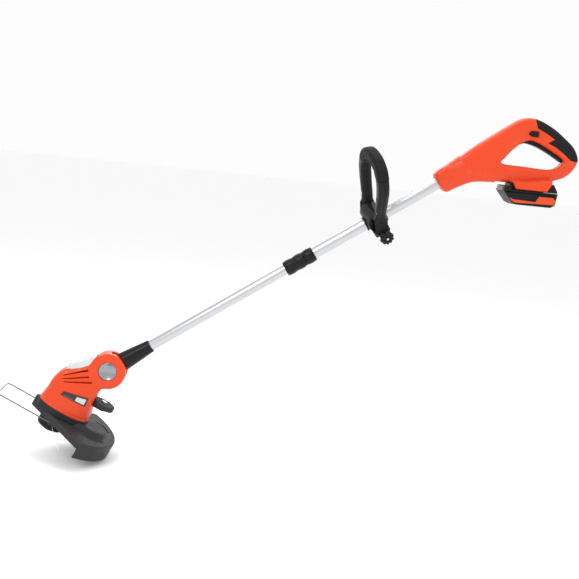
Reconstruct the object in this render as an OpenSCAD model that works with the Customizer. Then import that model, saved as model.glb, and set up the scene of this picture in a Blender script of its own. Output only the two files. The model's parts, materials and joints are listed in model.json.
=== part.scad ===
// Cordless string trimmer: swivelling cutting head, telescopic shaft, adjustable second handle
// and a D-shaped rear handle with a slide-on battery.
// Frame: origin at the middle of the bump cap's face, +X towards the rear handle, +Z up
// (square to the battery's flat base), +Y to the tool's right.

/* [Stance] */
// Angle of the shaft above level
shaft_pitch = 35.3; // [34:0.1:37]
// Angle of the cutting plane below level, towards the rear
head_pitch = 25; // [23:1:27]
// Turn of the second handle about the shaft
aux_roll = 30; // [10:1:35]
// Lean of the second handle's loop towards the rear
aux_tilt = 23; // [0:1:35]

/* [Shaft] */
// Outside diameter of the lower tube
lower_tube_d = 22; // [20:0.5:23]
// Outside diameter of the upper tube
upper_tube_d = 25; // [25:0.5:26]
// Wall thickness of both tubes
tube_wall = 1.1; // [0.9:0.1:1.2]
// Distance from the head pivot to the front of the twist collar
collar_at = 428; // [400:1:440]
// Distance from the head pivot to the middle of the second handle's clamp
aux_at = 642; // [620:1:660]
// Distance from the head pivot to the front of the rear handle
nose_at = 794; // [780:1:820]

/* [Head] */
// Diameter of the pivot drum
drum_d = 75; // [74:1:78]
// Width of the pivot drum
drum_w = 48; // [46:1:52]
// Radius of the guard's skirt about the spool's axis
guard_r = 137; // [130:1:145]
// Depth of the guard's skirt
skirt_h = 35; // [30:1:38]
// Diameter of the line spool's housing
spool_d = 58; // [54:1:60]
// Diameter of the edging wheel
wheel_d = 51; // [48:1:52]

/* [Rear handle] */
// Width of the handle's body
body_w = 48; // [46:1:52]
// Width of the handle's grip
grip_w = 38; // [36:1:40]
// Width of the battery
battery_w = 75; // [74:1:78]

/* [Second handle] */
// Thickness of the loop along the shaft
loop_t = 24; // [22:1:26]
// Radius of the loop's hubs
hub_r = 20; // [18:0.5:20]

/* [Hidden] */
$fn = 72;

orange = [0.93, 0.24, 0.08];
black = [0.10, 0.10, 0.11];
dark = [0.22, 0.22, 0.23];
silver = [0.80, 0.81, 0.83];
steel = [0.62, 0.63, 0.65];
brass = [0.80, 0.64, 0.30];

wall = 2.5;          // moulded wall
skin = 2;            // soft cover thickness
gap = 0.3;           // clearance between moving pieces
fit = 0.05;          // radial clearance of a running fit

lower_r = lower_tube_d / 2;
upper_r = upper_tube_d / 2;
upper_bore = upper_r - tube_wall;
lower_bore = lower_r - tube_wall;
drum_r = drum_d / 2;
half_drum = drum_w / 2;
spool_r = spool_d / 2;
wheel_r = wheel_d / 2;

// Places in the head's own frame: x to the rear along the cutting plane, z up the spool's axis
pivot_hx = 49;
pivot_hz = 175;
base_z = 43;         // top of the guard's plate, foot of the base
seam_z = 56;         // joint between the base and the orange shells
pivot = [pivot_hx * cos(head_pitch) + pivot_hz * sin(head_pitch), 0,
         pivot_hz * cos(head_pitch) - pivot_hx * sin(head_pitch)];
shaft_dir = [cos(shaft_pitch), 0, sin(shaft_pitch)];

module at_head() { rotate([0, head_pitch, 0]) children(); }
module at_shaft() { translate(pivot) rotate([0, -shaft_pitch, 0]) children(); }
module at_handle() { translate(pivot + nose_at * shaft_dir) children(); }
module at_clamp() { at_shaft() translate([aux_at, 0, 0]) rotate([aux_roll, 0, 0]) children(); }
module at_loop() { at_clamp() translate([0, 0, hub_z]) rotate([0, aux_tilt, 0]) children(); }

// Outlines are drawn flat and stood up: across Y for side views, along X for front views
module slab_y(y0, y1) { translate([0, y1, 0]) rotate([90, 0, 0]) linear_extrude(y1 - y0) children(); }
module slab_x(x0, x1) { translate([x0, 0, 0]) rotate([90, 0, 90]) linear_extrude(x1 - x0) children(); }
module slab_z(z0, z1) { translate([0, 0, z0]) linear_extrude(z1 - z0) children(); }
module rod_x(x0, x1, r) { translate([x0, 0, 0]) rotate([0, 90, 0]) cylinder(r = r, h = x1 - x0); }
module rod_y(y0, y1, r, x = 0, z = 0) {
    translate([x, y1, z]) rotate([90, 0, 0]) cylinder(r = r, h = y1 - y0);
}
module rod_z(z0, z1, r, x = 0, y = 0) { translate([x, y, z0]) cylinder(r = r, h = z1 - z0); }
module box(low, high) { translate(low) cube(high - low); }
module mirrored() { children(); mirror([0, 1, 0]) children(); }
module near_half() { intersection() { children(); box([-400, -200, -400], [400, 0, 400]); } }
module far_half() { intersection() { children(); box([-400, 0, -400], [400, 200, 400]); } }

// A smooth curve through a few points (Catmull-Rom), closed or open
function bend(a, b, c, d, t) = 0.5 * (2 * b + (c - a) * t + (2 * a - 5 * b + 4 * c - d) * t * t
                                      + (3 * b - a - 3 * c + d) * t * t * t);
function closed_curve(p, n = 4) = let (m = len(p))
    [for (i = [0:m - 1]) for (k = [0:n - 1])
        bend(p[(i + m - 1) % m], p[i], p[(i + 1) % m], p[(i + 2) % m], k / n)];
function open_curve(p, n = 4) = let (m = len(p))
    concat([for (i = [0:m - 2]) for (k = [0:n - 1])
        bend(p[max(i - 1, 0)], p[i], p[i + 1], p[min(i + 2, m - 1)], k / n)], [p[m - 1]]);
// The same outline moved inwards by d (points run anticlockwise)
function inset(p, d) = let (m = len(p))
    [for (i = [0:m - 1]) let (t = p[(i + 1) % m] - p[(i + m - 1) % m])
        p[i] + d * [-t[1], t[0]] / norm(t)];
function reversed(p) = [for (i = [len(p) - 1:-1:0]) p[i]];
function flip(p) = [for (q = reversed(p)) [-q[0], q[1]]];
function arc(r, a0, a1, n, c = [0, 0]) = [for (i = [0:n]) c + r * [cos(a0 + (a1 - a0) * i / n),
                                                                  sin(a0 + (a1 - a0) * i / n)]];

// ---------------------------------------------------------------- rear handle
// Side outlines, x and z from the point where the shaft enters the nose
body_side = closed_curve([[12, -17], [34, -8], [69, 8], [119, 12], [175, 15], [229, 25], [258, 36],
    [275, 54], [281, 74], [270, 97], [249, 115], [223, 133], [194, 146], [170, 150], [150, 144],
    [131, 131], [93, 103], [62, 79], [22, 44], [-12, 17]]);
hand_hole = closed_curve([[123, 52], [170, 50], [215, 48.5], [232, 51], [244, 58], [250, 68],
    [240, 77], [218, 89], [196, 99], [178, 104], [162, 99], [150, 89], [138, 77], [128, 64]]);
grip_zone = concat([[181, 170], [182, 149], [188, 130], [206, 122], [226, 111], [213, 102],
    [230, 95], [249, 83], [264, 71], [300, 67]], [[300, 170]]);
dock_side = [[146, 17], [154, 2], [219, 2], [228, 17], [228, 28], [200, 23], [175, 19], [146, 18.5]];
dock_end = [[220, 1.2], [240, 1.2], [240, 4], [231, 19], [228.3, 17.7], [219.8, 2.3]];
grip_split = 145;    // the body is wide in front of this and narrow behind
cone_r = [21, 28];
cone_l = 62;
dock_half = 36;
rail_half = 29;
lip_half = 25;
lip_top = 5.3;
channel_top = 14.3;
screw_spots = [[34, 1], [62, 66], [108, 30], [140, 110], [236, 106], [257, 50]];
trigger_pivot = [162, 102];
trigger_half = 9;
trigger_pull = 7;
trigger_side = concat(open_curve([[158, 94], [168, 98], [190, 93.5], [213, 84], [234, 73], [246, 66]]),
                      open_curve([[250, 71], [238, 80], [215, 92], [192, 101], [172, 107], [157, 105]]));
lock_side = [[171, 118], [176, 113.3], [190, 113.3], [190, 122.7], [176, 122.7]];

module body_slab(half, d) { slab_y(-half, half) polygon(inset(body_side, d)); }

module handle_solid(d = 0) {
    intersection() {
        body_slab(body_w / 2 - d, d);
        box([-100, -100, -100], [grip_split - d, 100, 300]);
    }
    body_slab(grip_w / 2 - d, d);
    translate(-nose_at * shaft_dir) rotate([0, -shaft_pitch, 0]) translate([nose_at, 0, 0])
        rotate([0, 90, 0]) translate([0, 0, d > 0 ? 12 : 0])
            cylinder(r1 = cone_r[0] - d, r2 = cone_r[1] - d, h = cone_l);
}

module grip_skin() {
    intersection() {
        difference() {
            body_slab(grip_w / 2, 0);
            body_slab(grip_w / 2 - skin, skin);
            slab_y(-30, 30) polygon(inset(hand_hole, -skin));
        }
        slab_y(-30, 30) polygon(grip_zone);
    }
}

module trigger_space() {
    slab_y(-trigger_half - gap, trigger_half + gap) polygon(inset(concat(
        [[154, 90], [168, 90], [190, 86], [213, 77], [234, 66], [249, 63]],
        [[258, 76], [246, 92], [218, 106], [190, 109], [166, 110], [154, 108]]), 0));
}

module tube_in_handle() {
    rotate([0, -shaft_pitch, 0]) rod_x(-10, 60, upper_r);
}

module screw_holes(r) { for (p = screw_spots) rod_y(-14, 40, r, p[0], p[1]); }

module handle_shell() {
    difference() {
        union() {
            difference() {
                handle_solid();
                difference() {
                    handle_solid(wall + skin);
                    slab_y(-30, 30) polygon(inset(hand_hole, -wall));
                    rotate([0, -shaft_pitch, 0]) rod_x(46, 56, 24);
                    for (p = screw_spots) rod_y(-30, 30, 4.2, p[0], p[1]);
                    rod_y(-30, 30, 5, trigger_pivot[0], trigger_pivot[1]);
                }
            }
            slab_y(-dock_half, dock_half) polygon(dock_side);
        }
        slab_y(-40, 40) polygon(hand_hole);
        grip_skin();
        tube_in_handle();
        trigger_space();
        slab_y(-40, 40) polygon(inset(lock_side, -gap));
        rod_y(-12, 12, 2, trigger_pivot[0], trigger_pivot[1]);
        box([113.5, -rail_half - gap, -5], [221.5, rail_half + gap, channel_top]);
        box([221, -22 - fit, -5], [240, 22 + fit, channel_top + fit]);
        screw_holes(1.5);
        for (p = screw_spots) rod_y(screw_seat(p), 40, 3.3, p[0], p[1]);
    }
    difference() {
        mirrored() box([186, lip_half + gap, 2], [219, rail_half + gap, lip_top - gap]);
        slab_y(-40, 40) polygon(hand_hole);
    }
}
function screw_seat(p) = (p[0] < grip_split ? body_w : grip_w) / 2 - 5;

module handle_shell_left() { color(orange) at_handle() near_half() handle_shell(); }
module handle_shell_right() { color(orange) at_handle() far_half() handle_shell(); }

module handle_screws() {
    color(steel) at_handle() for (p = screw_spots) let (y = screw_seat(p)) {
        rod_y(y, y + 1.5, 3.2, p[0], p[1]);
        rod_y(-12, y, 1.5, p[0], p[1]);
    }
}

module rear_grip_cover() {
    color(black) at_handle() difference() {
        grip_skin();
        for (p = screw_spots) rod_y(0, 40, 3.3, p[0], p[1]);
        slab_y(-40, 40) polygon(inset(lock_side, -gap));
        trigger_space();
    }
}

module trigger_switch() {
    color(dark) at_handle() difference() {
        union() {
            box([196, -8.5, 110], [224, 8.5, 126]);
            box([203, -3, 126], [217, 3, 130]);
        }
        for (x = [200, 220]) rod_y(-9, 9, 1.2, x, 122);
    }
}

module terminal_block() {
    color(dark) at_handle() {
        box([221.8, -22, 2.5], [230, 22, channel_top]);
        slab_y(-dock_half, dock_half) polygon(dock_end);
        for (y = [-12, -4, 4, 12]) box([212, y - 0.5, 7], [222, y + 0.5, 12]);
    }
}

module trigger_pin() {
    color(steel) at_handle() rod_y(-12, 12, 2, trigger_pivot[0], trigger_pivot[1]);
}

module trigger_lever() {
    color(black) at_handle() difference() {
        slab_y(-trigger_half, trigger_half) polygon(trigger_side);
        rod_y(-20, 20, 2 + fit, trigger_pivot[0], trigger_pivot[1]);
    }
}

module lock_off_button() {
    color(dark) at_handle() difference() {
        slab_y(-grip_w / 2 - 5, grip_w / 2 + 2) polygon(lock_side);
        for (x = [178, 182, 186]) rod_y(-grip_w / 2 - 6, -grip_w / 2 - 4.4, 0.9, x, 118);
    }
}

// ---------------------------------------------------------------- battery
battery_half = battery_w / 2;
battery_front = 129;
battery_side = [[battery_front, -3], [148, -25], [158, -29], [229, -29], [238, -24], [241, -3]];
band_side = [[140, -13.5], [150, -18], [196, -19.5], [203, -8], [232, -8], [238, -13],
             [236, -23], [156, -25.2], [147, -22]];
cell_r = 9;
cell_z = -14;
cell_spots = [for (i = [0:4]) 154.7 + 18.2 * i];

module battery_case_lower() {
    color(black) at_handle() difference() {
        slab_y(-battery_half, battery_half) polygon(battery_side);
        slab_y(-battery_half + wall, battery_half - wall)
            polygon([[134, -2], [150, -22.5], [159, -26.5], [228, -26.5], [236, -23], [238, -2]]);
        slab_y(-60, -battery_half + 1) polygon(band_side);
        slab_y(battery_half - 1, 60) polygon(band_side);
    }
}

module battery_case_upper() {
    color(black) at_handle() difference() {
        union() {
            box([battery_front, -battery_half, -3], [241, battery_half, 0.5]);
            box([battery_front + 2, -battery_half, 0.5], [144, battery_half, 9]);
            box([144, -lip_half, 0.5], [214, lip_half, 13.8]);
            box([184, -rail_half, lip_top], [214, rail_half, 13.8]);
        }
        box([battery_front - 1, -24, -4], [battery_front + 12, 24, 8]);
        for (y = [-12, -4, 4, 12]) box([201, y - 1.6, 5], [216, y + 1.6, 13]);
    }
}

module battery_band() {
    color(orange) at_handle() mirrored()
        slab_y(battery_half - 1, battery_half + 0.4) polygon(band_side);
}

module battery_cells() {
    color([0.2, 0.45, 0.3]) at_handle() for (x = cell_spots) {
        rod_y(-32.5, 32, cell_r, x, cell_z);
        rod_y(32, 33, 3, x, cell_z);
    }
}

module battery_terminals() {
    color(brass) at_handle() for (y = [-12, -4, 4, 12]) for (s = [-1, 1])
        box([202, y + s * 1.1 - 0.4, 5.2], [213, y + s * 1.1 + 0.4, 12.8]);
}

module battery_release() {
    color(dark) at_handle() difference() {
        box([battery_front - 1.5, -23.7, -2.7], [battery_front + 8, 23.7, 7.2]);
        for (z = [-0.5, 2.5, 5.5])
            box([battery_front - 2, -20, z - 0.6], [battery_front - 0.8, 20, z + 0.6]);
    }
}

// ---------------------------------------------------------------- shaft
collar_l = 68;
tube_start = collar_at + 42;
lower_end = 520;
socket_end = 103;
bulge_n = 8;

// A turned barrel section: x along the shaft, swelling from r0 to r1
function bulge(x0, x1, r0, r1) = [for (i = [0:bulge_n]) let (t = i / bulge_n)
    [r0 + (r1 - r0) * sin(180 * t), x0 + (x1 - x0) * t]];
module turned(p) { rotate([0, 90, 0]) rotate_extrude() polygon(p); }

module upper_tube() {
    color(silver) at_shaft() difference() {
        rod_x(tube_start, nose_at + 60, upper_r);
        rod_x(tube_start - 1, nose_at + 61, upper_bore);
    }
}

module collar_base() {
    x0 = collar_at + 46;
    color(black) at_shaft() difference() {
        union() {
            turned(concat([[0, x0]], bulge(x0, collar_at + collar_l, 15, 16.5),
                          [[0, collar_at + collar_l]]));
            rod_x(collar_at + 27, x0, 14.2);
        }
        rod_x(tube_start, collar_at + collar_l + 1, upper_r);
        rod_x(collar_at, tube_start + 1, 12.4);
    }
}

module lock_collet() {
    color([0.75, 0.75, 0.72]) at_shaft() difference() {
        union() {
            rod_x(collar_at + 12, collar_at + 40, 12.3);
            rod_x(collar_at + 8, collar_at + 12, 14);
        }
        rod_x(collar_at, collar_at + 60, lower_r + fit);
        box([collar_at, -1, 0], [collar_at + 35, 1, 20]);
    }
}

module collar_nut() {
    x0 = collar_at;
    color(black) at_shaft() difference() {
        turned(concat([[0, x0]], bulge(x0, x0 + 22, 15, 16.5), bulge(x0 + 23.4, x0 + 45.4, 15, 16.5),
                      [[0, x0 + 45.4]]));
        rod_x(x0 - 1, x0 + 8, lower_r + gap);
        rod_x(x0 + 7, x0 + 50, 14.5);
    }
}

module guide_bush() {
    color([0.75, 0.75, 0.72]) at_shaft() difference() {
        union() {
            rod_x(lower_end + 0.2, lower_end + 12, upper_bore - fit);
            rod_x(lower_end - 14, lower_end + 1, lower_bore - fit);
        }
        rod_x(lower_end - 20, lower_end + 20, 7.5);
    }
}

module lower_tube() {
    color(silver) at_shaft() difference() {
        rod_x(50, lower_end, lower_r);
        rod_x(49, lower_end + 1, lower_bore);
    }
}

module coiled_lead() {
    color(black) at_shaft() rod_x(60, lower_end - 16, 6);
}

// ---------------------------------------------------------------- second handle
clamp_half = 30;
clamp_r = 21;
liner_r = 14;
clamp_cut = -9;
clamp_foot = -26;
hub_z = 7;           // the loop's hubs sit above the tube
bolt_z = -17.5;
bolt_r = 2.5;
bolt_head = [27, 6];  // where its head starts, and the head's radius
stem_r = 3.8;
knob_y = -49.6;
knob_t = 10;
hub_y0 = 30.6;
hub_y1 = 47;
trunnion_r = 8;
loop_half = loop_t / 2;
grip_from = 112;
loop_outer = open_curve([[-47, 0], [-50, 29], [-60, 62], [-66, 94], [-55, 129], [-28, 147], [0, 151]]);
loop_inner = open_curve([[0, 126], [-20, 123], [-36, 111], [-42, 92], [-39, 60], [-32, 29], [-31, 0]]);
loop_ring = concat(loop_outer, [for (p = reversed(loop_outer)) if (p[0] < 0) [-p[0], p[1]]],
                   [for (p = reversed(loop_inner)) if (p[0] < 0) [-p[0], p[1]]], loop_inner);
loop_screw_spots = [[-44, 34], [44, 34], [-52, 70], [52, 70], [-30, 125], [30, 125]];

module clamp_liner() {
    color(dark) at_clamp() difference() {
        union() {
            rod_x(-22.5, 22.5, liner_r - fit);
            for (x = [-24, 21.6]) rod_x(x, x + 2.4, 16);
        }
        rod_x(-30, 30, upper_r + fit);
    }
}

module clamp_core() {
    difference() {
        union() {
            rod_y(-clamp_half, clamp_half, clamp_r, 0, hub_z);
            box([-17, -clamp_half, clamp_foot], [17, clamp_half, 0]);
        }
        rod_x(-40, 40, liner_r);
    }
}

module clamp_upper_half() {
    color(black) at_clamp() {
        intersection() {
            clamp_core();
            box([-40, -60, clamp_cut], [40, 60, 60]);
        }
        mirrored() rod_y(clamp_half, hub_y1 - 3, trunnion_r, 0, hub_z);
    }
}

module clamp_lower_half() {
    color(black) at_clamp() difference() {
        intersection() {
            clamp_core();
            box([-40, -60, -60], [40, 60, clamp_cut - 0.4]);
        }
        rod_y(-60, 60, bolt_r, 0, bolt_z);
        rod_y(bolt_head[0], 60, bolt_head[1], 0, bolt_z);
    }
}

module clamp_bolt() {
    color(steel) at_clamp() {
        rod_y(knob_y - knob_t - 1.5, bolt_head[0], bolt_r, 0, bolt_z);
        rod_y(bolt_head[0], clamp_half, bolt_head[1], 0, bolt_z);
    }
}

module clamp_knob() {
    color(black) at_clamp() difference() {
        union() {
            rod_y(knob_y - knob_t, knob_y, 12.5, 0, bolt_z);
            rod_y(knob_y, -clamp_half - gap, stem_r, 0, bolt_z);
            for (i = [0:9]) rod_y(knob_y - knob_t + 1, knob_y - 1, 2.4,
                                  12.4 * cos(36 * i), bolt_z + 12.4 * sin(36 * i));
        }
        rod_y(-80, 0, bolt_r + fit, 0, bolt_z);
        rod_y(-80, knob_y - knob_t + 2, 6, 0, bolt_z);
    }
}

module loop_solid(d = 0) {
    slab_x(-loop_half + d, loop_half - d) polygon(d > 0 ? inset(reversed(loop_ring), d) : loop_ring);
}

module loop_skin() {
    intersection() {
        difference() {
            loop_solid();
            loop_solid(skin);
        }
        box([-50, -100, grip_from], [50, 100, 200]);
    }
}

module loop_shells() {
    difference() {
        union() {
            loop_solid();
            mirrored() rod_y(hub_y0, hub_y1, hub_r);
        }
        mirrored() rod_y(0, hub_y1 - 3 + gap, trunnion_r + fit);
        mirrored() rod_y(hub_y1 - 2, 60, 13);
        rod_y(-hub_y0, hub_y0, 24);
        loop_skin();
        for (p = loop_screw_spots) translate([0, p[0], p[1]]) {
            rod_x(-20, 10, 1.5);
            rod_x(-20, -9, 3);
        }
    }
}

module loop_front_shell() {
    color(black) at_loop() intersection() {
        loop_shells();
        box([-50, -100, -60], [0, 100, 200]);
    }
}

module loop_rear_shell() {
    color(black) at_loop() intersection() {
        loop_shells();
        box([0, -100, -60], [50, 100, 200]);
    }
}

module loop_screws() {
    color(steel) at_loop() for (p = loop_screw_spots) translate([0, p[0], p[1]]) {
        rod_x(-10.5, -9, 2.9);
        rod_x(-9, 9, 1.5);
    }
}

module loop_soft_grip() {
    color(dark) at_loop() difference() {
        loop_skin();
        for (p = loop_screw_spots) translate([0, p[0], p[1]]) rod_x(-20, -5, 3);
    }
}

module loop_hub_caps() { color(dark) at_loop() mirrored() rod_y(hub_y1 - 2, hub_y1 + 0.6, 12.8); }

// ---------------------------------------------------------------- shaft bracket
knuckle_r = 29;
knuckle_half = 10;
axle_r = 10;
socket_from = drum_r + 1;
socket_screw_x = 84;

module shaft_socket() {
    color(black) at_shaft() difference() {
        union() {
            rod_y(-knuckle_half, knuckle_half, knuckle_r);
            box([0, -knuckle_half, -12], [46, knuckle_half, 12]);
            difference() {
                translate([32, 0, 0]) rotate([0, 90, 0]) cylinder(r1 = 20, r2 = 13.5, h = socket_end - 32);
                rod_y(-60, 60, socket_from);
            }
        }
        rod_y(-60, 60, axle_r + fit);
        rod_x(50, socket_end + 1, lower_r);
        rod_x(44, 60, 7);
        rod_y(-knuckle_half - 1, -knuckle_half + 2, 20);
        translate([socket_screw_x, 0, 0]) rod_z(-30, -lower_r + 2, 1.8);
        translate([socket_screw_x, 0, 0]) rod_z(-30, -13, 3.6);
    }
}

module socket_screw() {
    color(steel) at_shaft() translate([socket_screw_x, 0, 0]) {
        rod_z(-14.4, -13, 3.4);
        rod_z(-13, -lower_r - 0.3, 1.8);
    }
}

module index_plate() {
    color(steel) at_shaft() difference() {
        rod_y(-knuckle_half, -knuckle_half + 2, 20);
        rod_y(-60, 60, axle_r + fit + 0.5);
        for (i = [0:11]) rod_y(-60, 60, 1.8, 16.5 * cos(30 * i), 16.5 * sin(30 * i));
    }
}

// ---------------------------------------------------------------- cutting head
cheek_from = knuckle_half + 0.5;
button_r = 19;
button_travel = 4;
plan = closed_curve([[-49, 0], [-43, -24], [-22, -40], [8, -44.5], [36, -40], [57, -26], [66, 0],
                     [57, 26], [36, 40], [8, 44.5], [-22, 40], [-43, 24]]);
head_side = closed_curve([[-52, 50], [0, 50], [66, 50], [67, 72], [60, 90], [56, 112], [57, 134],
    [70, 160], [60, 180], [30, 186], [12, 170], [-6, 152], [-27, 138], [-38, 122], [-45, 101],
    [-46, 82]]);
head_front = closed_curve([[-46, 50], [0, 49], [46, 50], [45.5, 68], [40, 96], [30, 128], [25, 150],
    [24, 190], [0, 192], [-24, 190], [-25, 150], [-30, 128], [-40, 96], [-45.5, 68]]);
cover_half = 22;
cover_spots = [[-20, 147], [-9, 158], [2, 169], [12, 181]];
vents = [[[-26, 124], [13.5, 157]], [[-24, 117], [22, 146]], [[-19, 113], [33, 138.5]]];
vent_r = [0.5, 1.9];  // half width of a vent at its front and rear ends
front_slots = [98, 106];
badge = [[-11, 88], [46, 89], [44, 109], [-8, 98]];
wheel_x = 75;
wheel_z = [97, 108];
neck_from = 60.3 - 43;
neck_to = 60.3 + 43;
head_screw_spots = [[-34, 70], [52, 66], [40, 125], [-20, 132]];

module head_solid(d = 0) {
    intersection() {
        slab_z(seam_z - (d > 0 ? 1 : 0), 200) polygon(inset(plan, d));
        slab_y(-60, 60) polygon(inset(head_side, d));
        slab_x(-80, 90) polygon(inset(head_front, d));
    }
}

module drum() { rod_y(-half_drum, half_drum, drum_r, pivot_hx, pivot_hz); }

module at_drum() { translate([pivot_hx, 0, pivot_hz]) children(); }

module neck_slot() {
    at_drum() intersection() {
        rod_y(-knuckle_half - 0.5, knuckle_half + 0.5, 60);
        slab_y(-20, 20) polygon(concat([[0, 0]], arc(90, neck_from - 6, neck_to + 6, 12)));
    }
}

module cover_solid() {
    for (p = cover_spots) rod_y(-cover_half, cover_half, 9, p[0], p[1]);
    slab_y(-cover_half, cover_half) polygon([[-29, 141], [-20, 147], [12, 181], [20, 176], [12, 170],
                                             [-6, 152], [-27, 138]]);
}

module head_shells() {
    difference() {
        union() {
            difference() {
                head_solid();
                difference() {
                    head_solid(wall);
                    for (p = head_screw_spots) rod_y(-60, 60, 4, p[0], p[1]);
                }
            }
            drum();
        }
        at_drum() {
            rod_y(-cheek_from, cheek_from, knuckle_r + 1);
            rod_y(-60, 60, axle_r);
            rod_y(-60, -12.5, button_r + gap);
            rod_y(12.5, 60, button_r + gap);
        }
        neck_slot();
        difference() { cover_solid(); drum(); }
        for (v = vents) slab_y(-60, 60) polygon(wedge(v[0], v[1], vent_r));
        for (z = front_slots) box([-60, -14, z], [-30, 14, z + 4]);
        badge_solid();
        slab_z(wheel_z[0] - 1.5, wheel_z[1] + 1.5) translate([wheel_x, 0]) circle(r = wheel_r + 1.5);
        box([40, -9, 90], [80, 9, 96]);
        for (p = head_screw_spots) {
            rod_y(-15, 60, 1.5, p[0], p[1]);
            rod_y(22, 60, 3.2, p[0], p[1]);
        }
    }
}

// A slot that widens from a to b
function wedge(a, b, r) = let (n = [a[1] - b[1], b[0] - a[0]] / norm(b - a))
    [a - r[0] * n, b - r[1] * n, b + r[1] * n, a + r[0] * n];

module badge_solid() {
    intersection() {
        difference() {
            head_solid();
            head_solid(0.8);
        }
        slab_y(-60, 60) polygon(badge);
        difference() {
            box([-60, -60, 0], [60, 60, 200]);
            box([-60, -30, 0], [60, 30, 200]);
        }
    }
}

module head_shell_left() { color(orange) at_head() near_half() head_shells(); }
module head_shell_right() { color(orange) at_head() far_half() head_shells(); }
module side_badges() { color(black) at_head() badge_solid(); }

module head_top_cover() {
    color([0.92, 0.93, 0.94]) at_head() difference() {
        cover_solid();
        drum();
    }
}

module head_screws() {
    color(steel) at_head() for (p = head_screw_spots) {
        rod_y(22, 24, 3.1, p[0], p[1]);
        rod_y(-14, 22, 1.5, p[0], p[1]);
    }
}

module pivot_axle() {
    color(steel) at_head() at_drum() difference() {
        rod_y(-12.5, 12.5, axle_r);
        rod_y(-20, 11, 6.5);
    }
}

module pivot_button() {
    color(silver) at_head() at_drum() difference() {
        union() {
            rod_y(-half_drum + 1, -17.5, button_r);
            rod_y(-18, -5, 6);
        }
        translate([0, -half_drum - 37.5, 0]) sphere(r = 40);
        rod_y(-15, 0, 4);
    }
}

module pivot_cap() {
    color(silver) at_head() at_drum() difference() {
        rod_y(12.5, half_drum - 1, button_r + gap);
        translate([0, half_drum + 37.5, 0]) sphere(r = 40);
    }
}

module button_spring() {
    color(steel) at_head() at_drum() difference() {
        rod_y(-10.5, 11, 3.4);
        rod_y(-20, 12, 2.4);
    }
}

motor_r = 18;
motor_foot = seam_z;
motor_top = 112;
shaft_r = 2.5;

module motor_can() {
    color(steel) at_head() difference() {
        rod_z(motor_foot, motor_top, motor_r);
        rod_z(motor_foot - 1, motor_top + 1, shaft_r + fit);
    }
}

module motor_endcap() {
    color(dark) at_head() difference() {
        rod_z(motor_top, motor_top + 5, motor_r - 2);
        rod_z(motor_top - 1, motor_top + 6, shaft_r + fit);
    }
}

module head_base() {
    color(black) at_head() difference() {
        union() {
            slab_z(base_z, seam_z) polygon(inset(plan, -0.8));
            slab_z(base_z, seam_z - 3) polygon([for (q = arc(14, 110, 250, 10, [-42, 0])) q]);
        }
        rod_z(0, 100, shaft_r + gap);
        rod_z(seam_z - 6, seam_z + 1, 8);
        slab_z(base_z + 3, seam_z + 1) polygon([for (q = inset(plan, 6)) if (norm(q) > motor_r + 4) q]);
        for (p = guard_screw_spots) rod_z(0, 100, 1.6, p[0], p[1]);
    }
    color(black) at_head() difference() {
        rod_z(base_z + 3, seam_z, motor_r + 2);
        rod_z(0, 100, shaft_r + gap);
    }
}

// Guard: a fan with a straight edge each side, deepening to a round skirt at the rear
corner_a = 58.4;
edge_front = [-54, -9];
edge_corner = [guard_r * cos(corner_a), -guard_r * sin(corner_a)];
plate_t = 4;
band_h = 13;
plateau_h = 9;
plateau = [[30, -37], [92, -37], [104, -31], [112, -18], [114, 0], [112, 18], [104, 31], [92, 37],
           [30, 37]];
guard_screw_spots = [[-30, 20], [-30, -20], [44, 18], [44, -18]];
clip_y = 48;
wire_r = 1.4;
wire_z = 28;
wire_front = -124;
wire_bend = 10;
wire_tail = 12;
bail_travel = 55;

edge_slope = (edge_corner[1] - edge_front[1]) / (edge_corner[0] - edge_front[0]);
fan_reach = 254;

// The fan seen from above, moved inwards by d
module guard_plan(d = 0) {
    x = edge_front[0] + 1.5 * d;
    intersection() {
        circle(r = guard_r - d);
        polygon([[d - 56, 0], [x, edge_front[1]],
                 [x + fan_reach, edge_front[1] + edge_slope * fan_reach],
                 [x + fan_reach, -edge_front[1] - edge_slope * fan_reach], [x, -edge_front[1]]]);
    }
}

module guard() {
    color(dark) at_head() difference() {
        union() {
            difference() {
                slab_z(base_z - band_h, base_z) guard_plan();
                slab_z(0, base_z - plate_t) guard_plan(wall);
            }
            slab_z(base_z - skirt_h, base_z - plate_t) intersection() {
                difference() {
                    circle(r = guard_r);
                    circle(r = guard_r - wall);
                }
                polygon([[0, 0], [200, -200 * tan(corner_a - 2)], [200, 200 * tan(corner_a - 2)]]);
            }
            slab_z(base_z - 1, base_z + plateau_h) difference() {
                polygon(plateau);
                polygon(inset(plan, -3));
            }
            mirrored() box([-2, clip_y - 4, wire_z - 4], [10, clip_y + 4, base_z - 1]);
        }
        slab_z(0, base_z + plateau_h - wall) difference() {
            polygon(inset(plateau, wall));
            polygon(inset(plan, -3 - wall));
        }
        rod_z(0, 100, 12);
        for (p = guard_screw_spots) rod_z(0, 100, 1.9, p[0], p[1]);
        mirrored() translate([0, clip_y, wire_z]) rod_x(-60, 80, wire_r + fit);
        rotate([0, 0, cutter_a]) box([cutter_x - 8, -10, base_z - 21], [cutter_x, 10, base_z - 19.6]);
    }
}

cutter_a = 50;
cutter_x = guard_r - wall + 1.2;
module line_cutter() {
    color(steel) at_head() rotate([0, 0, cutter_a])
        box([cutter_x - 10, -10, base_z - 21], [cutter_x, 10, base_z - 19.6]);
}

module guard_screws() {
    color(steel) at_head() for (p = guard_screw_spots) {
        rod_z(base_z - plate_t - 2, base_z - plate_t, 3.4, p[0], p[1]);
        rod_z(base_z - plate_t, base_z + 3, 1.6, p[0], p[1]);
    }
}

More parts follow.
